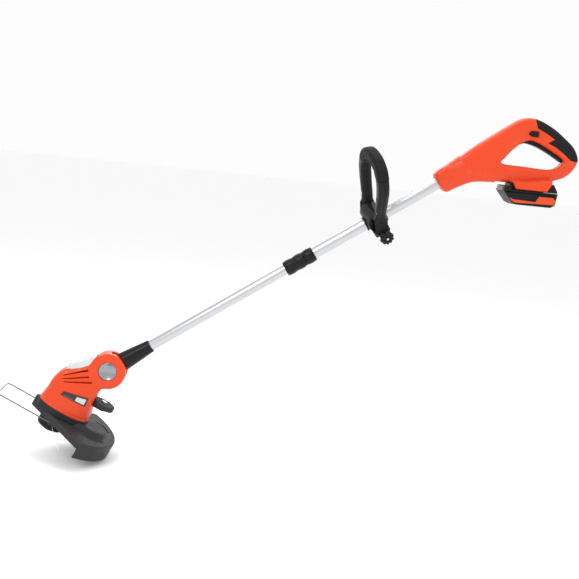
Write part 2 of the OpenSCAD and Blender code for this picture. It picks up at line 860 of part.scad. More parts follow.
module wheel_bracket() {
    color(black) at_head() difference() {
        union() {
            box([54, -9, 91], [wheel_x, 9, wheel_z[0] - 0.6]);
            rod_z(91, wheel_z[0] - 0.6, 9, wheel_x, 0);
        }
        rod_z(80, 120, 3, wheel_x, 0);
    }
}

module wheel_axle() {
    color(steel) at_head() {
        rod_z(91, wheel_z[1] + 0.6, 3, wheel_x, 0);
        rod_z(wheel_z[1] + 0.6, wheel_z[1] + 2.6, 6, wheel_x, 0);
    }
}

module edge_wheel() {
    color(dark) at_head() translate([wheel_x, 0, 0]) difference() {
        rotate_extrude() polygon([[3 + fit, wheel_z[0]], [wheel_r - 2, wheel_z[0]],
            [wheel_r, wheel_z[0] + 2], [wheel_r, wheel_z[1] - 3], [wheel_r - 3, wheel_z[1]],
            [3 + fit, wheel_z[1]]]);
        for (i = [0:23]) rotate([0, 0, 15 * i]) rod_z(wheel_z[0] - 1, wheel_z[1] + 1, 0.9, wheel_r, 0);
    }
}

module bail_wire() {
    straight = clip_y - wire_bend;
    color(steel) at_head() translate([0, 0, wire_z]) {
        mirrored() translate([0, clip_y, 0]) rod_x(wire_front + wire_bend, wire_tail, wire_r);
        translate([wire_front, 0, 0]) rod_y(-straight, straight, wire_r);
        mirrored() translate([wire_front + wire_bend, straight, 0]) rotate([0, 0, 90])
            rotate_extrude(angle = 90) translate([wire_bend, 0]) circle(r = wire_r);
    }
}

// ---------------------------------------------------------------- spool
exit_a = -74;        // where the line leaves the housing
exit_z = 15;
cup_foot = 5;
cup_top = 34;
line_r = 0.8;
press = 4;           // travel of the bump cap

module motor_shaft() { color(steel) at_head() rod_z(cup_top - 4, motor_top + 8, shaft_r); }

module spool_housing() {
    color(black) at_head() difference() {
        union() {
            rotate_extrude() polygon([[0, cup_foot], [spool_r - 3, cup_foot], [spool_r, cup_foot + 3],
                [spool_r, cup_top - 4], [spool_r - 3, cup_top], [0, cup_top]]);
            rod_z(cup_top, base_z - plate_t - 1, 9);
        }
        rod_z(cup_foot - 1, cup_top - 4, spool_r - wall);
        rod_z(cup_top - 5, 60, shaft_r);
        rotate([0, 0, exit_a]) translate([0, 0, exit_z]) rod_x(10, 40, 1.5);
    }
}

module spool_reel() {
    color(dark) at_head() difference() {
        union() {
            rod_z(8, 25.5, 13);
            for (z = [8, 23.5]) rod_z(z, z + 2, 24);
        }
        rod_z(18, 40, 9);
    }
}

module line_coil() {
    color([0.92, 0.92, 0.90]) at_head() difference() {
        rod_z(10, 23.5, 21);
        rod_z(0, 40, 13);
    }
}

module bump_cap() {
    color(dark) at_head() rotate_extrude() polygon([[0, 0], [14, 0], [19, 3], [20, 6], [20, 8], [0, 8]]);
}

// The line hangs out of the housing and droops a little; points are millimetres, head frame
line_path = [[8.0, -27.9, 15], [10, -34, 15], [13, -42, 14.6], [17, -51, 14], [21.5, -60, 13.2],
             [26, -69, 12], [31, -78, 10.5], [36, -86.5, 8.8], [41, -94.5, 7], [45, -101, 5.2]];

function rings(p) = let (m = len(p)) [for (i = [0:m - 1])
    let (t = p[min(i + 1, m - 1)] - p[max(i - 1, 0)], u = t / norm(t),
         a = cross(u, [0, 0, 1]), s = a / norm(a), w = cross(s, u))
    for (k = [0:7]) p[i] + line_r * (cos(45 * k) * s + sin(45 * k) * w)];

module cutting_line() {
    route = open_curve(line_path, 3);
    n = len(route);
    color([0.93, 0.93, 0.90]) at_head() polyhedron(points = rings(route),
        faces = concat([[for (k = [0:7]) k]], [[for (k = [7:-1:0]) 8 * (n - 1) + k]],
            [for (i = [0:n - 2]) for (k = [0:7]) [8 * i + k, 8 * (i + 1) + k,
                8 * (i + 1) + (k + 1) % 8, 8 * i + (k + 1) % 8]]));
}

handle_shell_left();
handle_shell_right();
handle_screws();
rear_grip_cover();
trigger_switch();
terminal_block();
trigger_pin();
upper_tube();
collar_base();
lock_collet();
trigger_lever();
lock_off_button();
battery_case_upper();
battery_case_lower();
battery_band();
battery_cells();
battery_terminals();
battery_release();
clamp_liner();
clamp_upper_half();
clamp_lower_half();
clamp_bolt();
clamp_knob();
loop_front_shell();
loop_rear_shell();
loop_screws();
loop_soft_grip();
loop_hub_caps();
collar_nut();
guide_bush();
lower_tube();
coiled_lead();
shaft_socket();
socket_screw();
index_plate();
pivot_axle();
pivot_button();
pivot_cap();
button_spring();
head_shell_left();
head_shell_right();
head_top_cover();
head_screws();
side_badges();
motor_can();
motor_endcap();
head_base();
guard();
guard_screws();
line_cutter();
wheel_bracket();
wheel_axle();
edge_wheel();
bail_wire();
motor_shaft();
spool_housing();
spool_reel();
line_coil();
bump_cap();
cutting_line();
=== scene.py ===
import json
import math

import bpy
import numpy as np
from mathutils import Matrix, Vector


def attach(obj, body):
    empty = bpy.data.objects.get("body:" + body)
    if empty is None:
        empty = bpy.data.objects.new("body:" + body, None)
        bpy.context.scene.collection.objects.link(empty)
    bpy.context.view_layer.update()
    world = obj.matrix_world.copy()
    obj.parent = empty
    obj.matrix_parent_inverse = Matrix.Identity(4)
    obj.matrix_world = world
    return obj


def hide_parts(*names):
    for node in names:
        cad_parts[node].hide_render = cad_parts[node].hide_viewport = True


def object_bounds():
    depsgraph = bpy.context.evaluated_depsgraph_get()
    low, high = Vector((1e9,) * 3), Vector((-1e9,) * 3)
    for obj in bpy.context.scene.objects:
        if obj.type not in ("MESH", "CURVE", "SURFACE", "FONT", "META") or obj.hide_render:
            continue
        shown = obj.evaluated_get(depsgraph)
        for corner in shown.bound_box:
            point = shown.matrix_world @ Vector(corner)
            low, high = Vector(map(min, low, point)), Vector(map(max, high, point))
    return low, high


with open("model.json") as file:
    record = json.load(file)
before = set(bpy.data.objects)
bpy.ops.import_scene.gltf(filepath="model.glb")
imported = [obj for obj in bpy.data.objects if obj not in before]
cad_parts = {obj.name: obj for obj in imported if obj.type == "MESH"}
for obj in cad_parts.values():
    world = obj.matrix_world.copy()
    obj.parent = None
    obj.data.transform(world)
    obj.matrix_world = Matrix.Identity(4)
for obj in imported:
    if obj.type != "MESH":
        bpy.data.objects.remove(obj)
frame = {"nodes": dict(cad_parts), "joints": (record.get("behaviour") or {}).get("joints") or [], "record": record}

cad_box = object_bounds()

# Shapes are worked out in millimetres in a local frame and placed in metres in the shared frame.
MM = 0.001

# ------------------------------------------------------------------ places, read from the frame
joints = {j["name"]: j for j in frame["joints"]}
PIVOT = Vector(joints["head_tilt"]["pos_m"])
CLAMP = Vector(joints["aux_turn"]["pos_m"])
SHAFT = Vector(joints["telescope_slide"]["axis"]).normalized()
SPOOL = Vector(joints["spool_spin"]["axis"]).normalized()
AUX_Y = Vector(joints["aux_lean"]["axis"]).normalized()
Y = Vector((0, 1, 0))
TRIGGER_PIVOT = (162.0, 102.0)
NOSE = Vector(joints["trigger_pull"]["pos_m"]) - Vector((TRIGGER_PIVOT[0], 0, TRIGGER_PIVOT[1])) * MM
NOSE_AT = (NOSE - PIVOT).length / MM
AUX_LEAN = math.radians(23)
DRUM_X, DRUM_Z = 49.0, 175.0


def basis(x_axis, y_axis, z_axis, origin):
    """A placement from a local frame in metres to the shared frame."""
    m = Matrix((x_axis, y_axis, z_axis)).transposed().to_4x4()
    m.translation = origin
    return m


HEAD = basis(Y.cross(SPOOL), Y, SPOOL, Vector((0, 0, 0)))
SHAFT_FRAME = basis(SHAFT, Y, SHAFT.cross(Y), PIVOT)
HANDLE = Matrix.Translation(NOSE)
CLAMP_FRAME = basis(SHAFT, AUX_Y, SHAFT.cross(AUX_Y), CLAMP)
HUB_Z = 7.0          # the loop's hubs sit above the tube
LOOP_FRAME = CLAMP_FRAME @ Matrix.Translation((0, 0, HUB_Z * MM)) @ Matrix.Rotation(AUX_LEAN, 4, "Y")

# ------------------------------------------------------------------ camera
scene = bpy.context.scene
camera = bpy.data.objects.new("camera", bpy.data.cameras.new("camera"))
scene.collection.objects.link(camera)
camera.data.sensor_width = 36
camera.data.lens = 63.23
CAM_RIGHT = Vector((0.9946, -0.0268, 0.0998)).normalized()
CAM_BACK = Vector((-0.0391, -0.9916, 0.1231)).normalized()
camera.matrix_world = basis(CAM_RIGHT, CAM_BACK.cross(CAM_RIGHT), CAM_BACK,
                            Vector((0.3968, -2.115, 0.6064)))
camera.data.clip_end = 120
scene.camera = camera


# ------------------------------------------------------------------ materials
def material(name, color, roughness, metallic=0.0, coat=0.0, specular=0.5, mottle=0.05, mottle_scale=30,
             grain=0.0, grain_scale=900, bump=0.15, rough_var=0.06, rough_scale=90, wear=0.0,
             stretch=(1, 1, 1), scratches=0.0, transmission=0.0):
    """A moulded or metal surface: broad colour mottle, fine grain in the bump, worn edges, uneven gloss.
    Scales are in waves a metre, because the coordinates are the object's own metres."""
    m = bpy.data.materials.new(name)
    m.use_nodes = True
    n, link = m.node_tree.nodes, m.node_tree.links.new
    bsdf = n["Principled BSDF"]
    bsdf.inputs["Metallic"].default_value = metallic
    bsdf.inputs["Coat Weight"].default_value = coat
    bsdf.inputs["Coat Roughness"].default_value = 0.12
    bsdf.inputs["Specular IOR Level"].default_value = specular
    bsdf.inputs["Transmission Weight"].default_value = transmission
    where = n.new("ShaderNodeTexCoord")
    mapping = n.new("ShaderNodeMapping")
    mapping.inputs["Scale"].default_value = stretch
    link(where.outputs["Object"], mapping.inputs["Vector"])

    def noise(scale, detail=3.0):
        t = n.new("ShaderNodeTexNoise")
        t.inputs["Scale"].default_value = scale
        t.inputs["Detail"].default_value = detail
        link(mapping.outputs["Vector"], t.inputs["Vector"])
        return t.outputs["Fac"]

    def ranged(value, low, high, from_low=0.3, from_high=0.7):
        r = n.new("ShaderNodeMapRange")
        r.inputs["From Min"].default_value = from_low
        r.inputs["From Max"].default_value = from_high
        r.inputs["To Min"].default_value = low
        r.inputs["To Max"].default_value = high
        link(value, r.inputs["Value"])
        return r.outputs["Result"]

    tone = n.new("ShaderNodeMix")
    tone.data_type = "RGBA"
    tone.inputs["A"].default_value = [c * (1 - mottle) for c in color] + [1]
    tone.inputs["B"].default_value = [min(1, c * (1 + mottle)) for c in color] + [1]
    link(ranged(noise(mottle_scale, 4), 0, 1), tone.inputs["Factor"])
    shade = tone.outputs["Result"]
    if wear:
        edge = n.new("ShaderNodeNewGeometry")
        worn = n.new("ShaderNodeMix")
        worn.data_type = "RGBA"
        worn.inputs["B"].default_value = [min(1, c * 1.25 + 0.10) for c in color] + [1]
        link(shade, worn.inputs["A"])
        link(ranged(edge.outputs["Pointiness"], 0, wear, 0.52, 0.62), worn.inputs["Factor"])
        shade = worn.outputs["Result"]
    link(shade, bsdf.inputs["Base Color"])
    link(ranged(noise(rough_scale), roughness - rough_var, roughness + rough_var), bsdf.inputs["Roughness"])
    if grain:
        b = n.new("ShaderNodeBump")
        b.inputs["Strength"].default_value = grain
        b.inputs["Distance"].default_value = bump * MM
        link(noise(grain_scale, 2), b.inputs["Height"])
        if scratches:
            s = n.new("ShaderNodeBump")
            s.inputs["Strength"].default_value = scratches
            s.inputs["Distance"].default_value = 0.05 * MM
            link(noise(grain_scale * 0.35, 6), s.inputs["Height"])
            link(b.outputs["Normal"], s.inputs["Normal"])
            b = s
        link(b.outputs["Normal"], bsdf.inputs["Normal"])
    return m


ORANGE = (0.68, 0.052, 0.008)
MATERIALS = {
    "orange_plastic": material("orange_plastic", ORANGE, 0.30, coat=0.15, specular=0.25,
                               mottle=0.025, mottle_scale=14,
                               grain=0.2, grain_scale=1500, bump=0.05, wear=0.10),
    "battery_orange": material("battery_orange", (0.64, 0.065, 0.012), 0.34, coat=0.1,
                               specular=0.25, mottle=0.05,
                               grain=0.25, grain_scale=1600, bump=0.05),
    "soft_grip": material("soft_grip", (0.010, 0.010, 0.011), 0.62, specular=0.14, mottle=0.18,
                          mottle_scale=60, grain=0.8, grain_scale=1100, bump=0.35, rough_var=0.1,
                          wear=0.15),
    "black_gloss": material("black_gloss", (0.008, 0.008, 0.009), 0.27, specular=0.18, mottle=0.12,
                            grain=0.3,
                            grain_scale=1400, bump=0.08, wear=0.15),
    "black_plastic": material("black_plastic", (0.010, 0.010, 0.011), 0.42, specular=0.15,
                              mottle=0.14, grain=0.5,
                              grain_scale=1200, bump=0.12, wear=0.2),
    "dark_plastic": material("dark_plastic", (0.020, 0.020, 0.022), 0.5, specular=0.16,
                             mottle=0.12, grain=0.5,
                             grain_scale=1200, bump=0.14, wear=0.2),
    "guard_plastic": material("guard_plastic", (0.030, 0.030, 0.032), 0.50, specular=0.16,
                              mottle=0.10, mottle_scale=25,
                              grain=0.8, grain_scale=1000, bump=0.22, rough_var=0.08, wear=0.35),
    "battery_black": material("battery_black", (0.008, 0.008, 0.009), 0.45, specular=0.15,
                              mottle=0.15, grain=0.7,
                              grain_scale=1300, bump=0.15, wear=0.2),
    "knob_black": material("knob_black", (0.010, 0.010, 0.011), 0.48, specular=0.15, mottle=0.12,
                           grain=0.5,
                           grain_scale=1200, bump=0.15, wear=0.3),
    "release_grey": material("release_grey", (0.17, 0.13, 0.14), 0.5, mottle=0.1, grain=0.5, wear=0.3),
    "badge_black": material("badge_black", (0.022, 0.016, 0.018), 0.22, coat=0.3, mottle=0.2,
                            grain=0.1),
    "wheel_plastic": material("wheel_plastic", (0.030, 0.030, 0.032), 0.55, specular=0.18,
                              mottle=0.12, grain=0.8,
                              grain_scale=1000, bump=0.2, wear=0.4),
    "spool_black": material("spool_black", (0.010, 0.010, 0.011), 0.45, specular=0.15, mottle=0.14,
                            grain=0.6,
                            grain_scale=1200, bump=0.15, wear=0.3),
    "cover_white": material("cover_white", (0.58, 0.61, 0.62), 0.22, coat=0.3, mottle=0.04, grain=0.1),
    "tube_aluminium": material("tube_aluminium", (0.54, 0.55, 0.57), 0.34, metallic=1.0, mottle=0.03,
                               grain=0.35, grain_scale=260, bump=0.03, stretch=(1, 6, 1), rough_var=0.05),
    "pivot_silver": material("pivot_silver", (0.30, 0.31, 0.33), 0.26, metallic=0.85, mottle=0.05,
                             grain=0.3, grain_scale=1800, bump=0.04),
    "steel_screws": material("steel_screws", (0.55, 0.56, 0.58), 0.35, metallic=1.0, mottle=0.08,
                             grain=0.3),
    "wire_steel": material("wire_steel", (0.13, 0.135, 0.145), 0.28, metallic=1.0, mottle=0.08,
                           grain=0.3,
                           grain_scale=1500, bump=0.03),
    "cutter_steel": material("cutter_steel", (0.60, 0.61, 0.63), 0.3, metallic=1.0, grain=0.4,
                             stretch=(1, 8, 1)),
    "motor_steel": material("motor_steel", (0.45, 0.46, 0.48), 0.4, metallic=1.0, grain=0.3),
    "brass_contacts": material("brass_contacts", (0.72, 0.50, 0.18), 0.3, metallic=1.0, grain=0.2),
    "nylon": material("nylon", (0.70, 0.70, 0.66), 0.5, mottle=0.05, grain=0.4),
    "line_nylon": material("line_nylon", (0.86, 0.87, 0.86), 0.30, mottle=0.04, grain=0.2,
                           transmission=0.15),
    "lead_rubber": material("lead_rubber", (0.02, 0.02, 0.02), 0.6, grain=0.6),
    "cell_wrap": material("cell_wrap", (0.06, 0.25, 0.12), 0.3, mottle=0.1, grain=0.2),
}
slot_of = {s["node"]: s["material_slot"] for s in frame["record"]["subparts"]}
for node, piece in frame["nodes"].items():
    for k in range(max(1, len(piece.material_slots))):
        if not piece.material_slots:
            piece.data.materials.append(MATERIALS[slot_of[node]])
        piece.material_slots[k].material = MATERIALS[slot_of[node]]

# ------------------------------------------------------------------ cutting line (the only free cord)
# The same route as the CAD line's, in millimetres in the head's frame
LINE_ROUTE = [(8.0, -27.9, 15), (10, -34, 15), (13, -42, 14.6), (17, -51, 14), (21.5, -60, 13.2),
              (26, -69, 12), (31, -78, 10.5), (36, -86.5, 8.8), (41, -94.5, 7), (45, -101, 5.2)]
LINE_D = 1.6


def bend(a, b, c, d, t):
    """A Catmull-Rom point between b and c."""
    return 0.5 * (2 * b + (c - a) * t + (2 * a - 5 * b + 4 * c - d) * t * t
                  + (3 * b - a - 3 * c + d) * t * t * t)


def open_curve(points, n=4):
    p = [np.array(q, float) for q in points]
    m = len(p)
    out = [bend(p[max(i - 1, 0)], p[i], p[i + 1], p[min(i + 2, m - 1)], k / n)
           for i in range(m - 1) for k in range(n)]
    return np.array(out + [p[-1]])


def closed_curve(points, n=4):
    p = [np.array(q, float) for q in points]
    m = len(p)
    return np.array([bend(p[i - 1], p[i], p[(i + 1) % m], p[(i + 2) % m], k / n)
                     for i in range(m) for k in range(n)])


def wire(name, points, radius, place, body, slot, nodes, closed=False):
    """A round rod along points (millimetres in the place's frame)."""
    curve = bpy.data.curves.new(name, "CURVE")
    curve.dimensions = "3D"
    curve.bevel_depth = radius * MM
    curve.bevel_resolution = 4
    curve.use_fill_caps = True
    s = curve.splines.new("POLY")
    s.points.add(len(points) - 1)
    for q, p in zip(s.points, points):
        q.co = (*(place @ (Vector(p) * MM)), 1)
    s.use_cyclic_u = closed
    s.use_smooth = True
    obj = bpy.data.objects.new(name, curve)
    scene.collection.objects.link(obj)
    curve.materials.append(MATERIALS[slot])
    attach(obj, body)
    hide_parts(*nodes)
    return obj


line_points = open_curve(LINE_ROUTE, 4)
cutting_line = wire("cutting_line_nylon", line_points, LINE_D / 2, HEAD, "spool", "line_nylon",
                    ["cutting_line"])


# ------------------------------------------------------------------ fields: signed distances in millimetres
def outline(points, u, v):
    """Distance to a closed flat outline, negative inside."""
    u, v = np.broadcast_arrays(u, v)
    best = np.full(u.shape, 1e12)
    inside = np.zeros(u.shape, bool)
    p = np.asarray(points, float)
    for (ax, ay), (bx, by) in zip(p, np.roll(p, -1, axis=0)):
        ex, ey = bx - ax, by - ay
        if ex == 0 and ey == 0:
            continue
        wx, wy = u - ax, v - ay
        t = np.clip((wx * ex + wy * ey) / (ex * ex + ey * ey), 0, 1)
        best = np.minimum(best, (wx - ex * t) ** 2 + (wy - ey * t) ** 2)
        if ey:
            inside ^= ((ay > v) != (by > v)) & (u < ax + wy * ex / ey)
    return np.where(inside, -1, 1) * np.sqrt(best)


def join(a, b, k=0.001):
    """Union, with a fillet of about k."""
    h = np.maximum(k - np.abs(a - b), 0) / k
    return np.minimum(a, b) - h * h * k / 4


def meet(a, b, k=0.001):
    return -join(-a, -b, k)


def cut(a, b, k=0.001):
    return -join(-a, b, k)


def slab(flat, across, r):
    """A flat outline given thickness, with its edges rounded by r."""
    a, b = flat + r, across + r
    return (np.minimum(np.maximum(a, b), 0) + np.hypot(np.maximum(a, 0), np.maximum(b, 0))) - r


def block(x, y, z, low, high, r=0.5):
    """A box with rounded edges."""
    c = [(p + q) / 2 for p, q in zip(low, high)]
    h = [(q - p) / 2 for p, q in zip(low, high)]
    dx, dy, dz = abs(x - c[0]) - h[0] + r, abs(y - c[1]) - h[1] + r, abs(z - c[2]) - h[2] + r
    out = np.sqrt(np.maximum(dx, 0) ** 2 + np.maximum(dy, 0) ** 2 + np.maximum(dz, 0) ** 2)
    return out + np.minimum(np.maximum(np.maximum(dx, dy), dz), 0) - r


def rod(a, b, c, low, high, radius, r=0.5):
    """A cylinder with rounded rims: a and b across it, c along it."""
    return slab(np.hypot(a, b) - radius, np.maximum(low - c, c - high), r)


def step(low, high, v):
    t = np.clip((v - low) / (high - low), 0, 1)
    return t * t * (3 - 2 * t)


def skin_mesh(f, low, h):
    """The surface where a sampled field is nought, by naive surface nets."""
    s = f < 0
    shape = tuple(n - 1 for n in f.shape)

    def corner(a, i, j, k):
        return a[i:i + shape[0], j:j + shape[1], k:k + shape[2]]

    corners = [(i, j, k) for i in (0, 1) for j in (0, 1) for k in (0, 1)]
    full = sum(corner(s, *c).astype(np.int8) for c in corners)
    cells = np.argwhere((full > 0) & (full < 8))
    number = np.full(shape, -1, np.int64)
    number[tuple(cells.T)] = np.arange(len(cells))
    total = np.zeros((len(cells), 3))
    count = np.zeros(len(cells))
    for c in corners:
        for axis in range(3):
            if c[axis]:
                continue
            d = list(c)
            d[axis] = 1
            fa = f[tuple((cells + c).T)]
            fb = f[tuple((cells + d).T)]
            hit = (fa < 0) != (fb < 0)
            t = np.where(hit, fa / np.where(hit, fa - fb, 1), 0)
            place = np.repeat(np.array([c], float), len(cells), axis=0)
            place[:, axis] = t
            total += place * hit[:, None]
            count += hit
    verts = np.array(low) + h * (cells + total / count[:, None])
    faces = []
    for axis in range(3):
        a, b = (axis + 1) % 3, (axis + 2) % 3
        lo, hi = [slice(None)] * 3, [slice(None)] * 3
        lo[axis], hi[axis] = slice(None, -1), slice(1, None)
        flips = s[tuple(lo)] != s[tuple(hi)]
        at = np.argwhere(flips)
        at = at[(at[:, a] > 0) & (at[:, b] > 0) & (at[:, a] < shape[a]) & (at[:, b] < shape[b])]
        out = s[tuple(at.T)]
        quad = []
        for da, db in ((1, 1), (0, 1), (0, 0), (1, 0)):
            q = at.copy()
            q[:, a] -= da
            q[:, b] -= db
            quad.append(number[tuple(q.T)])
        quad = np.stack(quad, 1)
        quad[~out] = quad[~out][:, ::-1]
        faces.append(quad)
    return verts, np.concatenate(faces)


def solid(name, field, low, high, h, place, body, slot, nodes, mirror=False, settle=2):
    """A piece whose surface is a field's nought, sampled every h over the box from low to high."""
    axes = [np.arange(a, b + h, h) for a, b in zip(low, high)]
    x, y, z = np.meshgrid(*axes, indexing="ij", sparse=True)
    f = np.array(np.broadcast_to(field(x, y, z), tuple(len(a) for a in axes)), float)
    verts, faces = skin_mesh(f, [a[0] for a in axes], h)
    # Vertices settle onto the field itself, so that flats are flat and rounds are round
    for _ in range(settle):
        g = (verts - [a[0] for a in axes]) / h
        base = np.clip(np.floor(g).astype(int), 0, np.array(f.shape) - 2)
        w = g - base
        value = np.zeros(len(verts))
        slope = np.zeros((len(verts), 3))
        for i in (0, 1):
            for j in (0, 1):
                for k in (0, 1):
                    v = f[base[:, 0] + i, base[:, 1] + j, base[:, 2] + k]
                    wx = w[:, 0] if i else 1 - w[:, 0]
                    wy = w[:, 1] if j else 1 - w[:, 1]
                    wz = w[:, 2] if k else 1 - w[:, 2]
                    value += v * wx * wy * wz
                    slope += np.stack([(2 * i - 1) * v * wy * wz, (2 * j - 1) * v * wx * wz,
                                       (2 * k - 1) * v * wx * wy], 1)
        size = np.maximum((slope ** 2).sum(1), 0.15 * h * h)
        verts -= np.clip(value / size, -0.5, 0.5)[:, None] * slope * h * 0.8
    return piece_from(name, verts, faces, place, body, slot, nodes, mirror)


def piece_from(name, verts, faces, place, body, slot, nodes, mirror=False):
    """A smooth-shaded object from points in millimetres in a local frame."""
    if mirror:
        verts = verts * [1, -1, 1]
        faces = np.asarray(faces)[:, ::-1]
    m = np.array(place)
    world_verts = verts * MM @ m[:3, :3].T + m[:3, 3]
    mesh = bpy.data.meshes.new(name)
    mesh.from_pydata(world_verts.tolist(), [], np.asarray(faces).tolist())
    mesh.polygons.foreach_set("use_smooth", [True] * len(mesh.polygons))
    mesh.materials.append(MATERIALS[slot])
    obj = bpy.data.objects.new(name, mesh)
    scene.collection.objects.link(obj)
    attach(obj, body)
    if nodes:
        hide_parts(*nodes)
    return obj


def lathe(name, profile, place, axis, centre, body, slot, nodes, n=96, flutes=None):
    """A turned piece: profile is a closed loop of (along, radius) pairs; axis is 0, 1 or 2."""
    p = np.asarray(profile, float)
    angle = np.arange(n) * 2 * np.pi / n
    a, b = (axis + 1) % 3, (axis + 2) % 3
    verts = np.zeros((len(p), n, 3))
    radius = np.repeat(p[:, 1:2], n, axis=1)
    if flutes:
        low, high, count, depth = flutes
        along = step(low, low + 2, p[:, 0]) * (1 - step(high - 2, high, p[:, 0]))
        mask = along * (p[:, 1] > p[:, 1].max() - 3)
        radius = radius - mask[:, None] * depth * (0.5 + 0.5 * np.cos(count * angle))[None, :]
    verts[..., axis] = p[:, 0:1]
    verts[..., a] = radius * np.cos(angle)
    verts[..., b] = radius * np.sin(angle)
    verts = verts.reshape(-1, 3) + np.array(centre, float)
    i, j = np.meshgrid(np.arange(len(p)), np.arange(n), indexing="ij")
    i2, j2 = (i + 1) % len(p), (j + 1) % n
    faces = np.stack([i * n + j, i2 * n + j, i2 * n + j2, i * n + j2], -1).reshape(-1, 4)
    area = 0.5 * sum(q[0] * r[1] - r[0] * q[1] for q, r in zip(p, np.roll(p, -1, axis=0)))
    if area > 0:
        faces = faces[:, ::-1]
    return piece_from(name, verts, faces, place, body, slot, nodes)


def eased(points, r=0.6, n=3):
    """A closed profile with its corners rounded by about r."""
    p = [np.array(q, float) for q in points]
    out = []
    for i, q in enumerate(p):
        u, v = p[i - 1] - q, p[(i + 1) % len(p)] - q
        lu, lv = np.linalg.norm(u), np.linalg.norm(v)
        d = min(r, lu / 2.2, lv / 2.2)
        a, b = q + u / lu * d, q + v / lv * d
        for k in range(n + 1):
            t = k / n
            out.append(a * (1 - t) ** 2 + 2 * q * t * (1 - t) + b * t * t)
    return np.array(out)


# ------------------------------------------------------------------ rear handle
BODY_SIDE = closed_curve([[12, -17], [34, -8], [69, 8], [119, 12], [175, 15], [229, 25], [258, 36],
                          [275, 54], [281, 74], [270, 97], [249, 115], [223, 133], [194, 146], [170, 150],
                          [150, 144], [131, 131], [93, 103], [62, 79], [22, 44], [-12, 17]])
HAND_HOLE = closed_curve([[123, 52], [170, 50], [215, 48.5], [232, 51], [244, 58], [250, 68], [240, 77],
                          [218, 89], [196, 99], [178, 104], [162, 99], [150, 89], [138, 77], [128, 64]])
GRIP_ZONE = [[181, 170], [182, 149], [188, 130], [206, 122], [226, 111], [213, 102], [230, 95], [249, 83],
             [264, 71], [300, 67], [300, 170]]
DOCK_SIDE = [[146, 17], [154, 2], [219, 2], [228, 17], [228, 28], [200, 23], [175, 19], [146, 18.5]]
TRIGGER_SPACE = [[154, 90], [168, 90], [190, 86], [213, 77], [234, 66], [249, 63], [258, 76], [246, 92],
                 [218, 106], [190, 109], [166, 110], [154, 108]]
LOCK_SIDE = [[171, 118], [176, 113.3], [190, 113.3], [190, 122.7], [176, 122.7]]
TRIGGER_SIDE = np.concatenate([
    open_curve([[158, 94], [168, 98], [190, 93.5], [213, 84], [234, 73], [246, 66]]),
    open_curve([[250, 71], [238, 80], [215, 92], [192, 101], [172, 107], [157, 105]])])
HANDLE_SCREWS = [[34, 1], [62, 66], [108, 30], [140, 110], [236, 106], [257, 50]]
UPPER_R, LOWER_R = 12.5, 11.0
FINE = 1.0
CA, SA = SHAFT.x, SHAFT.z


def handle_outer(x, y, z):
    """The handle's whole outside: a wide body, a slimmer D-shaped grip and a cone about the tube."""
    side = outline(BODY_SIDE, x, z)
    half = 24 - 5 * step(118, 172, x)
    crown = 4.5 * np.clip(1 + side / 30, 0, 1) ** 2
    body = slab(side, abs(y) - half + crown, 8)
    along, across = x * CA + z * SA, -x * SA + z * CA
    nose_r = 21 + 7 * np.clip(along, 0, 62) / 62
    nose = slab(np.hypot(across, y) - nose_r, np.maximum(-along, along - 62), 3.5)
    return join(body, nose, 5)


def handle_dock(x, y, z):
    return slab(outline(DOCK_SIDE, x, z), abs(y) - 36, 3.5)


def handle_open(f, x, y, z):
    """The hand hole, with rounded edges."""
    return cut(f, np.maximum(outline(HAND_HOLE, x, z), abs(y) - 60), 9)


def handle_half(side):
    def field(x, y, z):
        f = handle_open(handle_outer(x, y, z), x, y, z)
        zone = outline(GRIP_ZONE, x, z)
        f = cut(f, np.maximum(zone - 0.1, -(f + 2)), 0.3)
        f = join(f, handle_dock(x, y, z), 4)
        channel = np.minimum(block(x, y, z, (113.2, -29.3, -5), (221.5, 29.3, 14.3), 0.5),
                             block(x, y, z, (221, -22.1, -5), (240, 22.1, 14.4), 0.1))
        lips = np.maximum(25.3 - abs(y), np.maximum(z - 5.0, np.maximum(186 - x, x - 219)))
        f = cut(f, np.maximum(channel, -lips), 0.4)
        f = cut(f, np.maximum(outline(TRIGGER_SPACE, x, z), abs(y) - 9.4), 0.8)
        f = cut(f, outline(LOCK_SIDE, x, z) - 0.5 + 0 * y, 0.6)
        along, across = x * CA + z * SA, -x * SA + z * CA
        f = cut(f, np.maximum(np.hypot(across, y) - UPPER_R - 0.15, along - 60), 0.5)
        if side > 0:
            for px, pz in HANDLE_SCREWS:
                floor_y = 19 if px < 145 else 14
                f = cut(f, np.maximum(np.hypot(x - px, z - pz) - 3.5, floor_y - y), 0.5)
        return np.maximum(f, 0.08 - side * y)
    return field


low, high = (-20, -41, -33), (286, 1.5, 156)
solid("handle_left_shell", handle_half(-1), low, high, FINE, HANDLE, "handle", "orange_plastic",
      ["handle_shell_left"])
solid("handle_right_shell", handle_half(1), (low[0], -1.5, low[2]), (high[0], 41, high[2]), FINE, HANDLE,
      "handle", "orange_plastic", ["handle_shell_right"])


def grip_cover(x, y, z):
    f = handle_open(handle_outer(x, y, z), x, y, z)
    zone = outline(GRIP_ZONE, x, z)
    hole = outline(HAND_HOLE, x, z)
    proud = f - 0.5
    g = meet(meet(proud, zone + 0.5, 1.5), 4.3 - hole + 0 * y, 1.5)
    g = np.maximum(g, -(f + 1.9))
    # A field of small dimples on the palm
    u, v = 0.707 * (x + z), 0.707 * (x - z)
    pattern = np.sin(u * 1.9) * np.sin(v * 1.9)
    inner = np.clip((-zone - 5) / 3, 0, 1)
    return g + 0.22 * inner * np.clip(pattern, 0, 1)


solid("rear_soft_cover", grip_cover, (176, -22, 62), (286, 22, 156), 0.9, HANDLE, "handle", "soft_grip",
      ["rear_grip_cover"])

